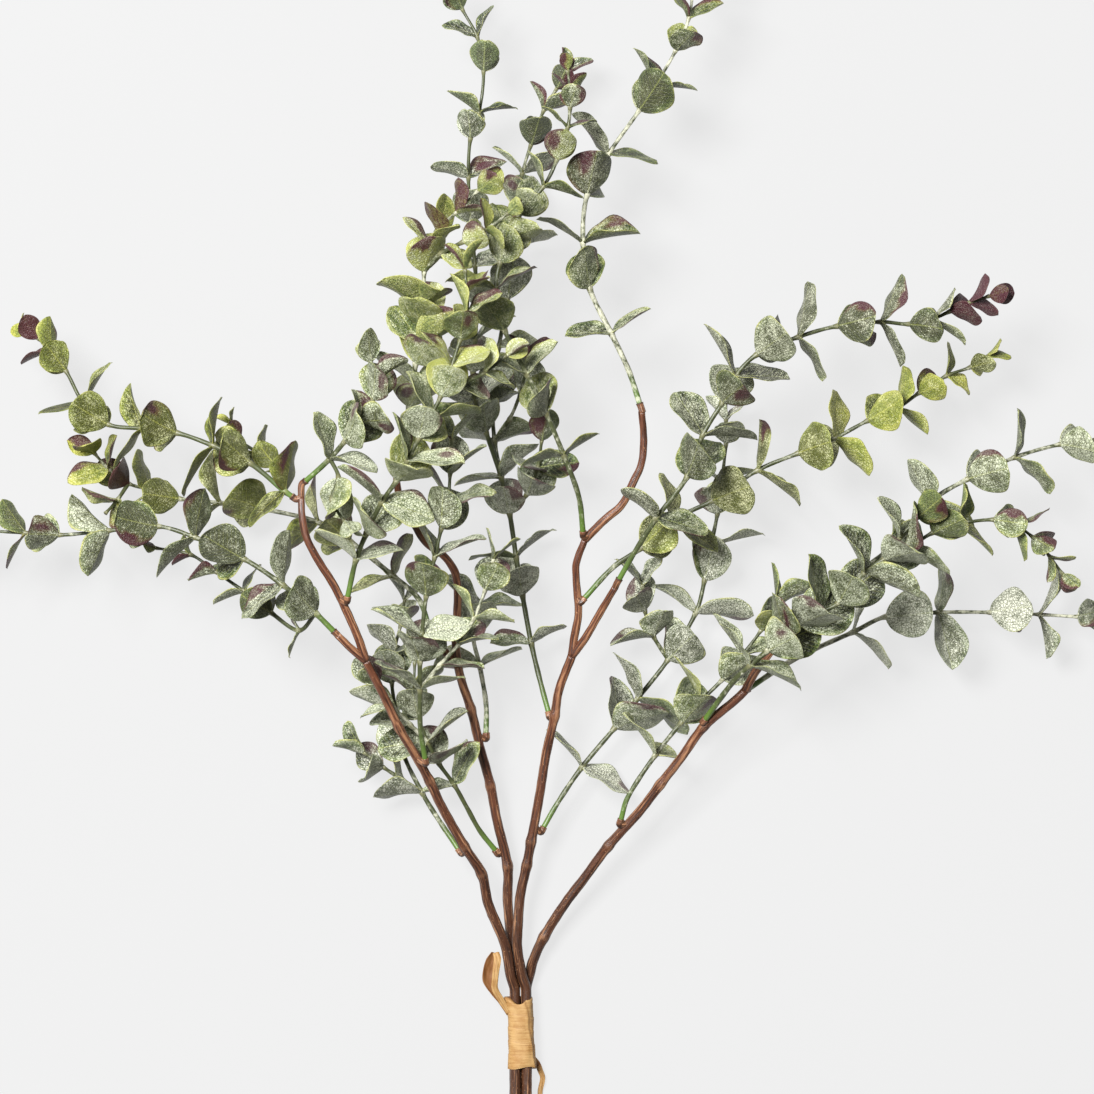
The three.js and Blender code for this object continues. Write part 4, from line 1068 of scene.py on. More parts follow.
leafShape = {
    "rows": 17,
    "columns": (0, 0.05, 0.16, 0.38, 0.62, 0.82, 0.94, 1),
    "halfThickness": 0.26,  # mm, at the middle of the blade
    "rimHalfThickness": 0.09,
    "rootHalfThickness": 0.55,
    "rootHalfBreadth": 0.45,
    "rootLength": 2.5,
    "groove": (0.16, 0.5),  # mm deep and to each side, over the midrib
    "fullness": (0.5, 0.68),  # low is round, high is pointed
    "lean": (1.0, 1.08),  # how far the widest part moves to the tip
    "lop": 0.06,  # how much wider one half may be
    "wave": 0.036,  # of the leaf's length
    "waves": (0.9, 1.7),  # along each edge
    "twistDegrees": 13,
    "sway": 0.05,  # of its length that a leaf bends aside
    "cup": (0.5, 1.6),  # of the solid blade's fold
    "keel": 0.4,  # share of the fold that is a plain V
    "folded": 0.2,  # share of leaves that are folded up
    "foldedCup": 1.7,
    "lip": (-0.7, 0.9),  # mm that the edge curls
    "bend": (0.4, 1.5),  # of the solid blade's recurve
    "tipHalfThickness": 0.1,
    "tipDrop": 0.02,  # of the leaf's length
    "tipSway": 1.06,
    "edgeMost": 4,  # mm, no spot counts as further in from the edge
    "edgeTip": 0.8,  # how much the tip counts as an edge
    "undersideTint": (-0.05, -0.06, 0),
}

# A blotch: an oval near one edge that spreads along that edge, in millimetres or shares of the leaf

stainShape = {
    "along": (0.5, 0.95),
    "aside": (0.3, 0.95),
    "length": (4, 8),
    "breadth": (1.8, 3.2),
    "core": 1.45,  # full within this less 1, in the oval's own radii
    "edge": 2.6,
    "edgeCore": 1.1,
    "edgeReach": 2.4,
    "edgeFade": (1.6, 0.5),
}

columnShares = np.array([-value for value in leafShape["columns"][:0:-1]] + list(leafShape["columns"]))


def facesOfBlade(rows, columns):
    faces = gridFaces(rows, columns, False)
    count, last = rows * columns, (rows - 1) * columns
    faces += [[corner + count for corner in face[::-1]] for face in faces]
    for column in range(columns - 1):
        faces.append([last + column, last + column + 1, 2 * count])
        faces.append([count + last + column + 1, count + last + column, 2 * count + 1])
        faces.append([column + 1, column, count + column, count + column + 1])
    for row in range(rows - 1):
        a, b = row * columns, (row + 1) * columns
        faces.append([a, b, count + b, count + a])
        a, b = a + columns - 1, b + columns - 1
        faces.append([b, a, count + a, count + b])
    faces.append([last, 2 * count, 2 * count + 1, count + last])
    faces.append([2 * count, last + columns - 1, count + last + columns - 1, 2 * count + 1])
    return faces


bladeFaces = facesOfBlade(leafShape["rows"], len(columnShares))


def bladeCurve(size, breadth, chance):  # shares of the length, mm across, aside, up and to the edge, the tip
    t = np.arange(leafShape["rows"]) / leafShape["rows"]
    shares = (0.5 * t + 0.5 * ease(t))[:, None]
    fullness = chance.uniform(*leafShape["fullness"])
    lean = chance.uniform(*leafShape["lean"])
    half = 0.5 * np.sin(math.pi * shares ** lean) ** fullness * breadth
    half = np.maximum(half, leafShape["rootHalfBreadth"])
    lop = chance.uniform(-leafShape["lop"], leafShape["lop"])
    across = half * columnShares * (1 + lop * np.sign(columnShares))
    cup = chance.uniform(*leafShape["cup"]) * math.tan(math.radians(leafRule["foldDegrees"]))
    cup *= leafShape["foldedCup"] if chance.random() < leafShape["folded"] else 1
    keel = leafShape["keel"]
    rise = cup * (keel * np.abs(across) + (1 - keel) * across ** 2 / (breadth / 2))
    rise = rise + chance.uniform(*leafShape["lip"]) * ease(shares * 2) * columnShares ** 4
    rise = rise - chance.uniform(*leafShape["bend"]) * leafRule["recurve"] * size * shares ** 2
    waves = chance.uniform(*leafShape["waves"])
    for hand in (-1, 1):
        phase = chance.uniform(0, 2 * math.pi)
        onSide = np.clip(hand * columnShares, 0, 1) ** 2
        ripple = np.sin(2 * math.pi * waves * shares + phase) * ease(shares * 3)
        rise = rise + leafShape["wave"] * size * onSide * ripple
    twist = chance.uniform(-leafShape["twistDegrees"], leafShape["twistDegrees"])
    twist = math.radians(twist) * shares
    sway = chance.uniform(-leafShape["sway"], leafShape["sway"]) * size * shares ** 2
    aside = across * np.cos(twist) - rise * np.sin(twist) + sway
    above = rise * np.cos(twist) + across * np.sin(twist)
    edge = np.minimum(half - np.abs(across), size * (1 - shares) * leafShape["edgeTip"])
    tip = aside[-1].mean() * leafShape["tipSway"], rise[-1].min() - leafShape["tipDrop"] * size
    return shares, across, aside, above, np.clip(edge, 0, leafShape["edgeMost"]), tip


def stainOn(size, breadth, along, across, edge, chance):
    spotAlong = size * chance.uniform(*stainShape["along"])
    hand = chance.choice((-1, 1))
    spotAcross = breadth / 2 * hand * chance.uniform(*stainShape["aside"])
    away = np.hypot((along - spotAlong) / chance.uniform(*stainShape["length"]),
                    (across - spotAcross) / chance.uniform(*stainShape["breadth"]))
    hug = np.where(across * hand > 0, stainShape["edgeCore"] - edge / stainShape["edge"], 0)
    full, fade = stainShape["edgeFade"]
    hug = hug * (away < stainShape["edgeReach"]) * (full - fade * away)
    return np.clip(np.maximum(stainShape["core"] - away, hug), 0, 1)


def addLeaf(shell, leaf, tone, frost, purple, dried, chance):
    size, breadth, normal = leaf["size"], leaf["breadth"], leaf["normal"]
    shares, across, aside, above, edge, (tipAside, tipAbove) = bladeCurve(size, breadth, chance)
    middle = (leaf["node"] + (size * shares)[:, :, None] * leaf["length"]
              + aside[:, :, None] * leaf["width"] + above[:, :, None] * normal)
    thick = mix(leafShape["halfThickness"], leafShape["rimHalfThickness"], np.abs(columnShares) ** 3)
    root = leafShape["rootHalfThickness"] * np.exp(-(size * shares / leafShape["rootLength"]) ** 2)
    thick = thick + root * (1 - columnShares ** 2)
    depth, halfGroove = leafShape["groove"]
    groove = depth * np.exp(-(across / halfGroove) ** 2) * (1 - shares)
    top = middle + (thick - groove)[:, :, None] * normal
    under = middle - (thick + groove)[:, :, None] * normal
    tip = leaf["node"] + leaf["length"] * size + leaf["width"] * tipAside + normal * tipAbove
    tips = np.array([tip + side * normal * leafShape["tipHalfThickness"] for side in (1, -1)])
    along = np.repeat(size * shares, len(columnShares), axis=1)
    grid = np.stack([along, across, edge], axis=2).reshape(-1, 3)
    underGrid = np.stack([along, across, -edge - leafSkin["graze"]], axis=2).reshape(-1, 3)
    stain = np.maximum(purple * stainOn(size, breadth, along, across, edge, chance), dried)
    tints = np.stack([np.full_like(stain, tone), np.full_like(stain, frost), stain], axis=2).reshape(-1, 3)
    tipTint = [tone, frost, stain[-1].mean()]
    shell.add(np.concatenate([top.reshape(-1, 3), under.reshape(-1, 3), tips]), bladeFaces,
              np.concatenate([tints, tints + leafShape["undersideTint"], [tipTint, tipTint]]),
              np.concatenate([grid, underGrid, [[size, 0, 0], [size, 0, 0]]]))


# Shoots: a ribbed rod with a collar at each pair of leaves

shootShape = {
    "footRadius": 1.3,
    "tipRadius": 0.62,
    "sideRatio": 0.8,
    "sides": 12,
    "step": 1.1,
    "collar": 0.42,  # mm that a leaf node stands out
    "collarLength": 1.5,
    "paleCollar": (0.5, 1.6),  # how pale it is, and mm along
    "rib": 0.05,
    "ribs": 4,
    "wander": 0.07,
    "foot": 0.75,  # how bright the foot is
    "footLength": 11,
    "footFrost": -0.15,
    "plug": 0.9,  # mm that the foot stands in its stub
    "frost": (0.1, 0.36),
    "darkest": 0.3,  # share of shoots that are almost bare of wax
    "darkestFrost": -0.22,
}


def addShoot(shell, line, isSide, chance):
    route = twigRoute(line, isSide)
    if not isSide:  # its foot is pushed into the stub
        route[0] -= unit(route[1] - route[0]) * shootShape["plug"]
    foot = shootShape["footRadius"] * (shootShape["sideRatio"] if isSide else 1)
    radii = mix(foot, shootShape["tipRadius"], np.arange(len(route)) / (len(route) - 1))
    points, radii, knots = smoothRoute(route, radii, shootShape["step"])
    nodes = lengthsOf(points)[knots[line["bare"]:]]
    lean, shift = chance.uniform(0.05, 0.1), chance.uniform(0, 6)
    frost = chance.uniform(*shootShape["frost"])
    frost += shootShape["darkestFrost"] if chance.random() < shootShape["darkest"] else 0

    def relief(angle, at):
        swell = sum(np.exp(-((at - node) / shootShape["collarLength"]) ** 2) for node in nodes)
        ribs = shootShape["rib"] * np.cos(shootShape["ribs"] * angle + shift + at * 0.02)
        wander = shootShape["wander"] * np.sin(at * 0.55 + shift) * np.sin(2 * angle + at * lean)
        return shootShape["collar"] * np.minimum(swell, 1) + ribs + wander

    def tintOf(at):
        footing = 0 if isSide else math.exp(-(at / shootShape["footLength"]) ** 2)
        paleness, reach = shootShape["paleCollar"]
        near = max(math.exp(-((at - node) / reach) ** 2) for node in nodes)
        return [shootShape["foot"] * footing, frost + shootShape["footFrost"] * footing, paleness * near]

    addRod(shell, points, radii, shootShape["sides"], relief, tintOf, 0.0)


# What some sprays show at their far leaves: from this share of the line on, tone and purple change, and some
# leaves have dried to a dark purple all over

tipChanges = {
    "spray_centre_front": {"from": 0.5, "tone": 0.3, "purple": 0.3, "dried": 0.0},
    "spray_crown_left": {"from": 0.35, "tone": 0.2, "purple": 0.2, "dried": 0.05},
    "spray_crown_dark": {"from": 0.75, "tone": 0.15, "purple": 0.4, "dried": 0.35},
    "spray_right_high": {"from": 0.72, "tone": -0.4, "purple": 0.5, "dried": 0.95},
    "spray_left_middle": {"from": 0.6, "tone": 0.45, "purple": 0.4, "dried": 0.12},
    "spray_left_high": {"from": 0.7, "tone": 0.25, "purple": 0.3, "dried": 0.1},
    "spray_left_low": {"from": 0.6, "tone": 0.1, "purple": 0.2, "dried": 0.0},
    "spray_right_bright": {"from": 0.38, "tone": 0.5, "purple": 0.0, "dried": 0.0},
    "spray_right_front": {"from": 0.5, "tone": 0.2, "purple": 0.35, "dried": 0.0},
    "spray_back_tall": {"from": 0.6, "tone": -0.15, "purple": 0.4, "dried": 0.15},
    "spray_top_right": {"from": 0.6, "tone": 0.15, "purple": 0.3, "dried": 0.0},
}
sameTip = {"from": 2, "tone": 0, "purple": 0, "dried": 0}

spraySet = {
    "firstSeed": 1700,
    "change": 0.12,  # share of a line over which its far leaves change
    "changeFrost": -0.22,
    "toneSpread": 0.18,
    "frostSpread": 0.13,
    "purple": (0.7, 1.0),  # of a stained leaf
    "dried": (0.5, 0.9),
}


def dressSpray(spray, number):
    chance = random.Random(spraySet["firstSeed"] + number)
    look = leafLooks[spray["tint"]]
    toneShift, frostShift, purpleAmount = spray["look"]
    tip = tipChanges.get(spray["name"], sameTip)
    blades, shoots = Shell(), Shell()
    for line, leaves in enumerate(spray["leaves"]):
        addShoot(shoots, spray["lines"][line], line > 0, chance)
        for leaf in leaves:
            past = float(ease((leaf["share"] - tip["from"]) / spraySet["change"]))
            tone = look["tone"] + toneShift + past * tip["tone"] + chance.gauss(0, spraySet["toneSpread"])
            frost = look["frost"] + frostShift + spraySet["changeFrost"] * past
            frost += chance.gauss(0, spraySet["frostSpread"])
            stained = chance.random() < purpleAmount + past * tip["purple"]
            purple = chance.uniform(*spraySet["purple"]) if stained else 0.0
            dried = chance.uniform(*spraySet["dried"]) if chance.random() < past * tip["dried"] else 0.0
            addLeaf(blades, leaf, tone, frost, purple, dried, chance)
    slot = "leaf_" + spray["tint"]
    blades.make(spray["name"] + "_leaves", leafMaterials[spray["tint"]], spray["name"], slot)
    shoots.make(spray["name"] + "_shoot", shootMaterial, spray["name"], slot)


for number, spray in enumerate(sprays):
    dressSpray(spray, number)
print("sprays dressed:", len(sprays))

# Stems: knuckled rods with a raised seam along two sides, and a stub for each spray that is pushed on

stemShape = {
    "firstSeed": 400,
    "sides": 20,
    "step": 1.4,
    "seam": (0.14, 0.03),  # mm high, and how narrow
    "seamTurn": 0.6,
    "wander": 0.06,
    "knuckle": 0.4,
    "knuckleLength": 2.2,
    "scarFrom": (4, 16),
    "scarEvery": (26, 60),
    "scar": 0.09,
    "scarLength": 0.7,
    "tieMiddle": -3,
    "calm": 0.3,  # how much of this relief is left under the tie
    "calmReach": (17, 8),  # mm from the tie's middle, and on to full relief
    "markLength": 0.8,
    "markPale": 0.12,
    "markTorn": 0.35,
    "redFrom": (20, 150),  # mm up the bundle where the bark starts to turn red, and on to the full red
    "cutDepth": 0.25,
    "stubSides": 14,
    "stubStep": 0.5,
    "stubInset": 0.15,
    "stubLip": (0.18, 0.7),  # mm high and along
    "stubRipple": 0.06,
    "stubPale": 0.1,
    "stubTorn": (0.75, 0.9),  # how torn its skin is at the end, and mm along
}


def nearestOn(lines, place):
    best, least = None, math.inf
    for route in lines:
        for index in range(len(route) - 1):
            edge = route[index + 1] - route[index]
            share = min(max((place - route[index]) @ edge / (edge @ edge), 0), 1)
            found = route[index] + edge * share
            if (found - place) @ (found - place) < least:
                best, least = found, (found - place) @ (found - place)
    return best


def redness(height):
    start, reach = stemShape["redFrom"]
    return float(ease((height - start) / reach))


def addStemLine(shell, line, route, knuckleKnots, chance):
    radii = stemRadii(line, len(route), [])
    points, radii, knots = smoothRoute(route, radii, stemShape["step"])
    length, heights = lengthsOf(points), points[:, 1]
    knuckles = length[[knots[index] for index in knuckleKnots]] if line == 0 else []
    scars = []
    at = chance.uniform(*stemShape["scarFrom"])
    while at < length[-1]:
        scars.append(at)
        at += chance.uniform(*stemShape["scarEvery"])
    lean, shift = chance.uniform(0.03, 0.07), chance.uniform(0, 6)

    def relief(angle, at):
        swell = sum((np.exp(-((at - knot) / stemShape["knuckleLength"]) ** 2) for knot in knuckles), 0 * at)
        rings = sum((np.exp(-((at - scar) / stemShape["scarLength"]) ** 2)
                     * (0.5 + 0.5 * np.cos(angle - scar)) for scar in scars), 0 * at)
        seamHeight, narrow = stemShape["seam"]
        turn = np.cos(angle + stemShape["seamTurn"])
        seam = np.exp(-((turn - 1) / narrow) ** 2) + np.exp(-((turn + 1) / narrow) ** 2)
        wander = (np.sin(at * 0.35 + shift) * np.sin(2 * angle + at * lean)
                  + 0.6 * np.sin(at * 0.9 + 3 * angle + shift))
        start, reach = stemShape["calmReach"]
        fromTie = np.abs(np.interp(at, length, heights) - stemShape["tieMiddle"])
        free = mix(stemShape["calm"], 1, ease((fromTie - start) / reach))
        return free * (stemShape["knuckle"] * swell + stemShape["scar"] * rings + seamHeight * seam
                       + stemShape["wander"] * wander)

    def tintOf(at):
        mark = max([math.exp(-((at - knot) / stemShape["markLength"]) ** 2) for knot in knuckles], default=0)
        red = redness(np.interp(at, length, heights))
        return [red, stemShape["markPale"] * mark, stemShape["markTorn"] * mark]

    addRod(shell, points, radii, stemShape["sides"], relief, tintOf, stemShape["cutDepth"])


def addStub(shell, lines, foot, ahead):
    bend = foot - ahead * stemSet["stubStraight"]
    near = nearestOn(lines, foot)
    end = foot - ahead * stemSet["buttGap"] / 2
    apart = np.linalg.norm(near - bend)
    isBent = apart > stemSet["stubStraight"] / 2
    route = np.array([near, bend, end] if isBent else [bend, end])
    route[0] += unit(route[0] - route[1]) * (stemSet["stubDepth"] + (0 if isBent else apart))
    points, radii, _ = smoothRoute(route, [stemSet["stubRadius"]] * len(route), stemShape["stubStep"])
    toEnd = np.linalg.norm(points - points[-1], axis=1)
    lip, lipLength = stemShape["stubLip"]
    radii = radii - stemShape["stubInset"] + lip * np.exp(-(toEnd / lipLength) ** 2)
    red = redness(foot[1])
    torn, tornLength = stemShape["stubTorn"]

    def relief(angle, at):
        return stemShape["stubRipple"] * np.sin(3 * angle + at * 0.6)

    def tintOf(at):
        return [red, stemShape["stubPale"], torn * math.exp(-((at - toEnd[0]) / tornLength) ** 2)]

    addRod(shell, points, radii, stemShape["stubSides"], relief, tintOf, stemShape["cutDepth"])


def dressStem(number, stem):
    chance = random.Random(stemShape["firstSeed"] + number)
    shell = Shell()
    for line, route in enumerate(stemRoutes[number]):
        addStemLine(shell, line, route, stem["knuckles"], chance)
    for spray in sprays:
        if spray["stem"] == number:
            foot, following = (np.array(point, float) for point in spray["lines"][0]["route"][:2])
            addStub(shell, stemRoutes[number], foot, unit(following - foot))
    shell.make(stem["name"] + "_bark", barkMaterial, stem["name"], "brown_bark")


for number, stem in enumerate(stems):
    dressStem(number, stem)
print("stems dressed:", len(stems))

# Raffia tie: a wound wrap round the four stems, with a loop on the left and a tail at the lower right

tieSet = {
    "top": 13.8,
    "bottom": -19.8,
    "height": 12.2,
    "wall": 0.9,
    "innerHalf": 5.3,
    "places": [-19.8, -15, -5, 4, 9, 13.8],
    "halves": [7, 6.6, 6.15, 6.15, 6.45, 7.1],
    "middles": [0.85, 0.7, 0.3, 0.1, -0.5, -1.1],
    "corner": 2.6,  # exponent of the rounded-square section
    "ringStep": 0.4,
    "sides": 64,
    "dip": (3.2, -0.05, 0.6),  # how far the top edge dips in front, where, and how wide
    "lift": (2.4, -0.6, 1.6),  # the same for the bottom edge, which rises to the right
    "wrinkleMm": 1.15,
    "wrinkle": 0.1,
    "wrinkleSway": 0.5,
    "gather": (-7.5, 6),  # where the wrinkles gather, and over what length
    "bandMm": 6.5,  # from one turn of the raffia to the next
    "bandStep": 0.22,
    "bandSlope": 1.1,
    "bandShift": 0.15,
    "seam": (1.05, 0.025, 0.06),  # angle of the long fold, its slope and its sway
    "fold": (0.35, 0.09),  # how high it is, and how wide in radians
    "swell": 0.1,
    "edge": (0.3, 0.5),  # how deep the ends are rounded, and over what length
    "sink": 0.12,  # how far the raffia lies inside the solid wrap
    "clear": 0.02,
    "foldShade": (0.55, 0.16, 0.07),  # how dark the fold's side is, how far beside it, and how wide
    "bandShade": (0.35, 0.06),
    "wrinkleShade": (0.12, -0.6),
    "insideShade": 0.6,
    "fibrePlace": (0.3, 6),  # mm over and round for the pattern of fibres
}

loopFront = {
    "route": [[-5.4, 6.5, 9], [-9, 12.6, 10.8], [-11.9, 18, 12.6], [-11.8, 23, 14], [-11.2, 28, 14.6],
              [-10.7, 32, 14], [-11.4, 35, 12.6]],
    "widths": [2.8, 3, 3, 3, 3.2, 3.4, 3],
    "tilts": [10, 10, 5, 0, -5, -5, 0],
    "curl": 0.35,
    "shade": (0.0, 0.8),  # painted shade of its upper and lower sides
    "crease": -0.3,
}
loopBack = {
    "route": [[-5.4, 6, 8.2], [-9.4, 12.2, 9.4], [-13, 17, 10.2], [-15.2, 22, 10.6], [-15, 26.5, 10.8],
              [-13.6, 31, 11.2], [-11.9, 34.6, 12]],
    "widths": [2.2, 2.4, 3, 5.2, 5.6, 5.4, 3.6],
    "tilts": [5, 5, 0, -12, -20, -10, 0],
    "curl": -0.9,
    # painted shade of its upper and lower sides
    "shade": (0.85, 0.4),
    "crease": 0.2,
}
tail = {
    "route": [[5.4, -14.5, 4.2], [7.9, -17.6, 3.4], [9.3, -21, 2.4], [10.4, -24.5, 1.5], [9.2, -31, 0.9],
              [9.2, -44, 0.8]],
    "widths": [3, 2.8, 2.6, 2.4, 2.4, 1.6],
    "tilts": [25, 20, 12, 5, 0, 0],
    "curl": 0.35,
    "shade": (0.0, 0.6),
    "crease": -0.2,
    "knot": 4.5,  # mm along it, to the dark knot
}
ribbonShape = {
    "thickness": 0.35,
    "step": 0.5,
    "columns": 11,
    "level": 0.4,  # where its curl crosses its middle plane, as a share squared
    "waves": ((0.12, 5, 0.7), (0.08, 9, -0.4)),  # mm high, turns across, and drift along
    "crease": (0.6, 0.12),  # how dark the painted shade in the crease is, and how wide
    "knotLength": 1.6,
    "fibrePlace": 0.4,
}


def sectionPoint(half, height, angle):  # a rounded square, its underside flat on the surface
    power = 2 / tieSet["corner"]
    x = half * np.sign(np.cos(angle)) * np.abs(np.cos(angle)) ** power
    z = height / 2 + height / 2 * np.sign(np.sin(angle)) * np.abs(np.sin(angle)) ** power
    return x, z


def addWrap(shell):
    rings = int((tieSet["top"] - tieSet["bottom"]) / tieSet["ringStep"]) + 1
    columns = tieSet["sides"]
    share = np.linspace(0, 1, rings)[:, None]
    angle = (2 * math.pi * np.arange(columns) / columns)[None, :]
    front = np.clip(np.sin(angle), 0, 1) ** 2
    dip, dipPlace, dipWidth = tieSet["dip"]
    lift, liftPlace, liftWidth = tieSet["lift"]
    top = tieSet["top"] - dip * front * np.exp(-((np.cos(angle) - dipPlace) / dipWidth) ** 2)
    bottom = tieSet["bottom"] + lift * ease((np.cos(angle) - liftPlace) / liftWidth) * front
    y = bottom + (top - bottom) * share
    level = 0 * y

    wrinkle = y + tieSet["wrinkleSway"] * np.sin(angle * 2 + y * 0.15)
    wrinkle = np.sin(2 * math.pi * wrinkle / tieSet["wrinkleMm"])
    gatherPlace, gatherLength = tieSet["gather"]
    gather = np.exp(-((y - gatherPlace) / gatherLength) ** 2)
    gather = gather * (0.5 + 0.5 * np.sin(angle * 3 + 1.2 + y * 0.2))
    band = np.mod((y + tieSet["bandSlope"] * np.cos(angle)) / tieSet["bandMm"] + tieSet["bandShift"], 1)
    seamTurn, seamSlope, seamSway = tieSet["seam"]
    seam = seamTurn + seamSlope * y + seamSway * np.sin(y * 0.4 + 2)
    foldHeight, foldWidth = tieSet["fold"]
    fold = np.exp(-((angle - seam) / foldWidth) ** 2)
    relief = (tieSet["wrinkle"] * wrinkle * gather + tieSet["bandStep"] * (band - 0.5) + foldHeight * fold
              + tieSet["swell"] * np.sin(angle * 5 + y * 0.4) - tieSet["sink"])
    edges = np.minimum(share, 1 - share) * (tieSet["top"] - tieSet["bottom"])
    edgeDepth, edgeReach = tieSet["edge"]
    relief = relief - edgeDepth * np.exp(-(edges / edgeReach) ** 2)

    half = np.interp(y, tieSet["places"], tieSet["halves"])
    middle = np.interp(y, tieSet["places"], tieSet["middles"])
    x, z = sectionPoint(half + relief, tieSet["height"] + 2 * relief, angle)
    z = np.maximum(z - relief, tieSet["clear"])
    innerX, innerZ = sectionPoint(tieSet["innerHalf"], tieSet["height"] - 2 * tieSet["wall"], angle)
    outer = np.stack([x + middle, y, z], axis=2)
    inner = np.stack([innerX + level, y, innerZ + tieSet["wall"] + level], axis=2)[::-1]

    shade, beside, width = tieSet["foldShade"]
    bandShade, bandWidth = tieSet["bandShade"]
    wrinkleShade, hollow = tieSet["wrinkleShade"]
    # Painted shade: darker beside the long fold, at the edge of each turn and in the wrinkles' hollows; the
    # inside is painted darker too
    paintedShade = np.clip(shade * np.exp(-((angle - seam + beside) / width) ** 2)
                      + bandShade * np.exp(-(band / bandWidth) ** 2)
                      + wrinkleShade * (wrinkle < hollow) * gather, 0, 1)
    tints = np.stack([paintedShade, level, level], axis=2)
    inTints = np.stack([level + tieSet["insideShade"], level, level], axis=2)
    over, around = tieSet["fibrePlace"]
    wound = np.stack([y, over * np.sin(angle) + level, angle * around + level], axis=2)
    faces = [face[::-1] for face in gridFaces(2 * rings, columns, True)]
    last = (2 * rings - 1) * columns
    for column in range(columns):
        after = (column + 1) % columns
        faces.append([after, column, last + column, last + after])
    shell.add(np.concatenate([outer, inner]).reshape(-1, 3), faces,
              np.concatenate([tints, inTints]).reshape(-1, 3),
              np.concatenate([wound, wound[::-1]]).reshape(-1, 3))


def addRibbon(shell, strip):
    both = np.array([strip["widths"], strip["tilts"]], float).T
    points, amounts, _ = smoothRoute(np.array(strip["route"], float), both, ribbonShape["step"])
    along = unitRows(np.gradient(points, axis=0))
    length = lengthsOf(points)[:, None]
    tilt = np.radians(amounts[:, 1:])
    sideways = unitRows(np.cross(along, up)) * np.cos(tilt) + up * np.sin(tilt)
    sideways = unitRows(sideways - along * (sideways * along).sum(axis=1)[:, None])
    through = np.cross(along, sideways)
    width = np.linspace(-1, 1, ribbonShape["columns"])
    across = width * amounts[:, :1] / 2
    lift = strip["curl"] * (width ** 2 - ribbonShape["level"])
    for height, turns, drift in ribbonShape["waves"]:
        lift = lift + height * np.sin(turns * width + length * drift)
    middle = (points[:, None, :] + sideways[:, None, :] * across[:, :, None]
              + through[:, None, :] * lift[:, :, None])
    half = through[:, None, :] * ribbonShape["thickness"] / 2
    ring = np.concatenate([middle + half, (middle - half)[:, ::-1, :]], axis=1)
    ringAcross = np.concatenate([across, across[:, ::-1]], axis=1)

    # Painted shade: one side of each strip darker than the other, and a darker line along its crease
    upperShade, lowerShade = strip["shade"]
    darkness, creaseWidth = ribbonShape["crease"]
    paintedShade = np.maximum(upperShade, darkness * np.exp(-((width - strip["crease"]) / creaseWidth) ** 2))
    shade = np.concatenate([lowerShade + 0 * width, paintedShade[::-1]]) + 0 * ringAcross
    if "knot" in strip:
        shade = np.maximum(shade, np.exp(-((length - strip["knot"]) / ribbonShape["knotLength"]) ** 2))
    rows, sides = ring.shape[:2]
    places = np.stack([ringAcross, ribbonShape["fibrePlace"] + 0 * ringAcross,
                       np.repeat(length, sides, axis=1)], axis=2)
    faces = gridFaces(rows, sides, True)
    faces.append(list(range(sides))[::-1])
    faces.append([(rows - 1) * sides + column for column in range(sides)])
    tints = np.stack([shade, 0 * shade, 0 * shade], axis=2).reshape(-1, 3)
    shell.add(ring.reshape(-1, 3), faces, tints, places.reshape(-1, 3))


tie = Shell()
addWrap(tie)
for strip in (loopFront, loopBack, tail):
    addRibbon(tie, strip)
tie.make("raffia_tie_wrap", raffiaMaterial, "raffia_tie", "raffia")
print("tie dressed")

# Floor, light and sky: a pale sheet, one wide soft light near the camera, and an even white surround

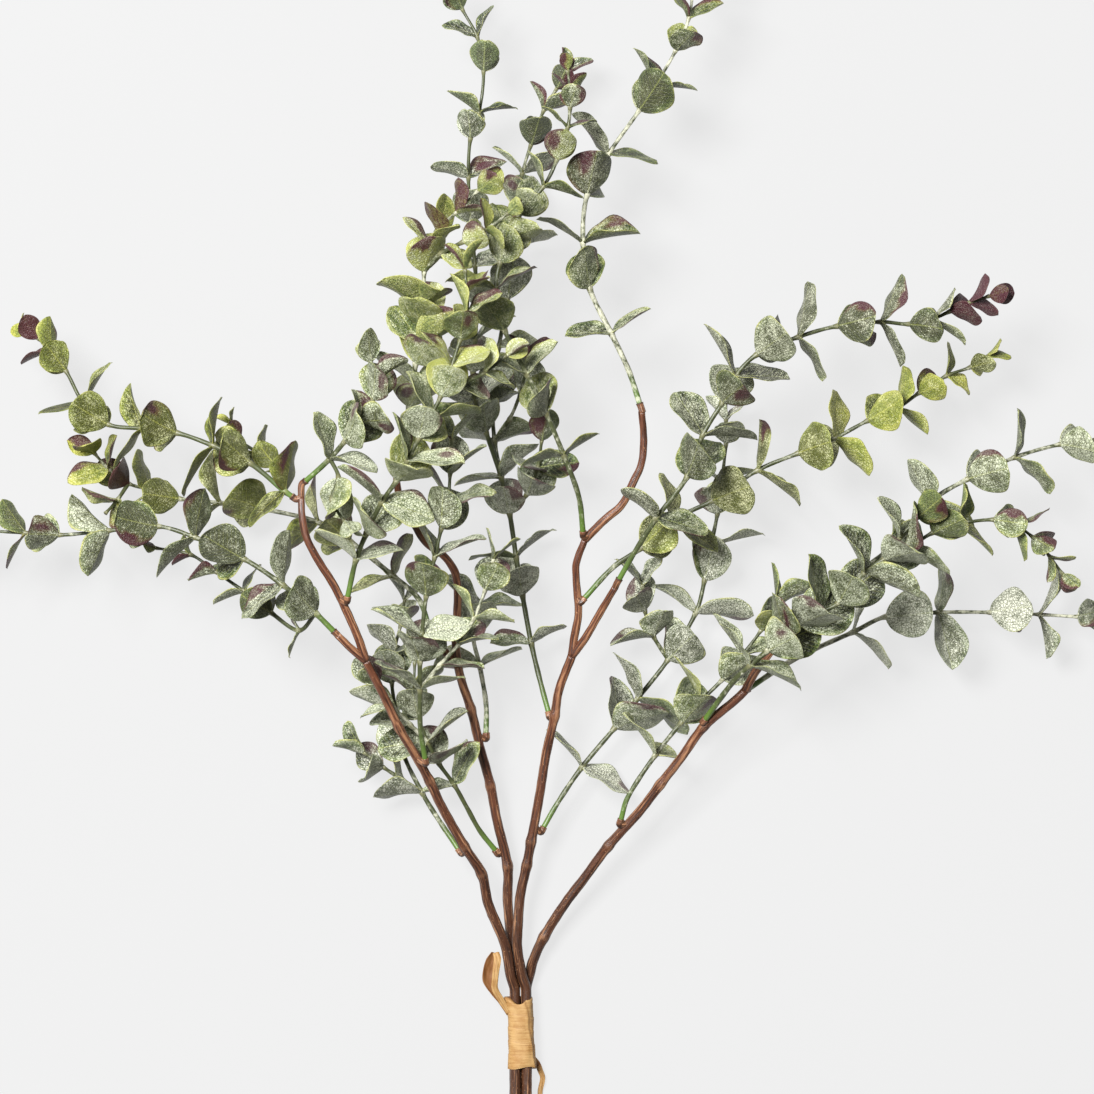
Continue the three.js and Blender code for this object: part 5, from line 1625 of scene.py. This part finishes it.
studioSet = {
    "floor": "#3c3c3c",
    "floorGlow": 0.75,  # the sheet is lit from behind, which keeps the pile's own shadow faint
    "floorSize": 40,
    "floorHeight": -0.0005,
    "floorRoughness": (0.85, 0.95),
    "skyStrength": 0.22,
    "keyPower": 150,
    "keySize": 0.9,
    "keyPlace": (-0.85, 1.0, 2.3),
    "keyAim": (0.012, 0.224, 0.05),
}


def makeStudio(settings):
    half, height = settings["floorSize"] / 2, settings["floorHeight"]
    mesh = bpy.data.meshes.new("paleFloor")
    corners = [(-half, -half, height), (half, -half, height), (half, half, height), (-half, half, height)]
    mesh.from_pydata(corners, [], [(0, 1, 2, 3)])
    floor = bpy.data.objects.new("paleFloor", mesh)
    bpy.context.scene.collection.objects.link(floor)
    material, tree = newMaterial("paleSheet")
    where = addNode(tree, "ShaderNodeTexCoord").outputs["Object"]
    grain = addNode(tree, "ShaderNodeTexNoise", inputs={"Vector": where, "Scale": 3.0, "Detail": 2.0})
    smoothest, roughest = settings["floorRoughness"]
    roughness = addNode(tree, "ShaderNodeMapRange", inputs={
        "Value": grain.outputs["Fac"], "To Min": smoothest, "To Max": roughest})
    shader = addNode(tree, "ShaderNodeBsdfPrincipled", inputs={
        "Base Color": colourOf(settings["floor"]), "Roughness": roughness.outputs[0],
        "Emission Color": colourOf("#ffffff"), "Emission Strength": settings["floorGlow"]})
    addNode(tree, "ShaderNodeOutputMaterial", inputs={"Surface": shader.outputs["BSDF"]})
    mesh.materials.append(material)
    world = bpy.data.worlds.new("evenSky")
    world.use_nodes = True
    sky = world.node_tree.nodes["Background"]
    sky.inputs["Color"].default_value = (1, 1, 1, 1)
    sky.inputs["Strength"].default_value = settings["skyStrength"]
    bpy.context.scene.world = world
    data = bpy.data.lights.new("keyLight", "AREA")
    data.energy = settings["keyPower"]
    data.shape = "SQUARE"
    data.size = settings["keySize"]
    light = bpy.data.objects.new("keyLight", data)
    light.location = settings["keyPlace"]
    aim = np.array(settings["keyAim"]) - np.array(settings["keyPlace"])
    light.rotation_mode = "QUATERNION"
    light.rotation_quaternion = Vector(aim).to_track_quat("-Z", "Y")
    bpy.context.scene.collection.objects.link(light)
    bpy.context.scene.view_settings.view_transform = "Standard"


makeStudio(studioSet)
print("studio lit")
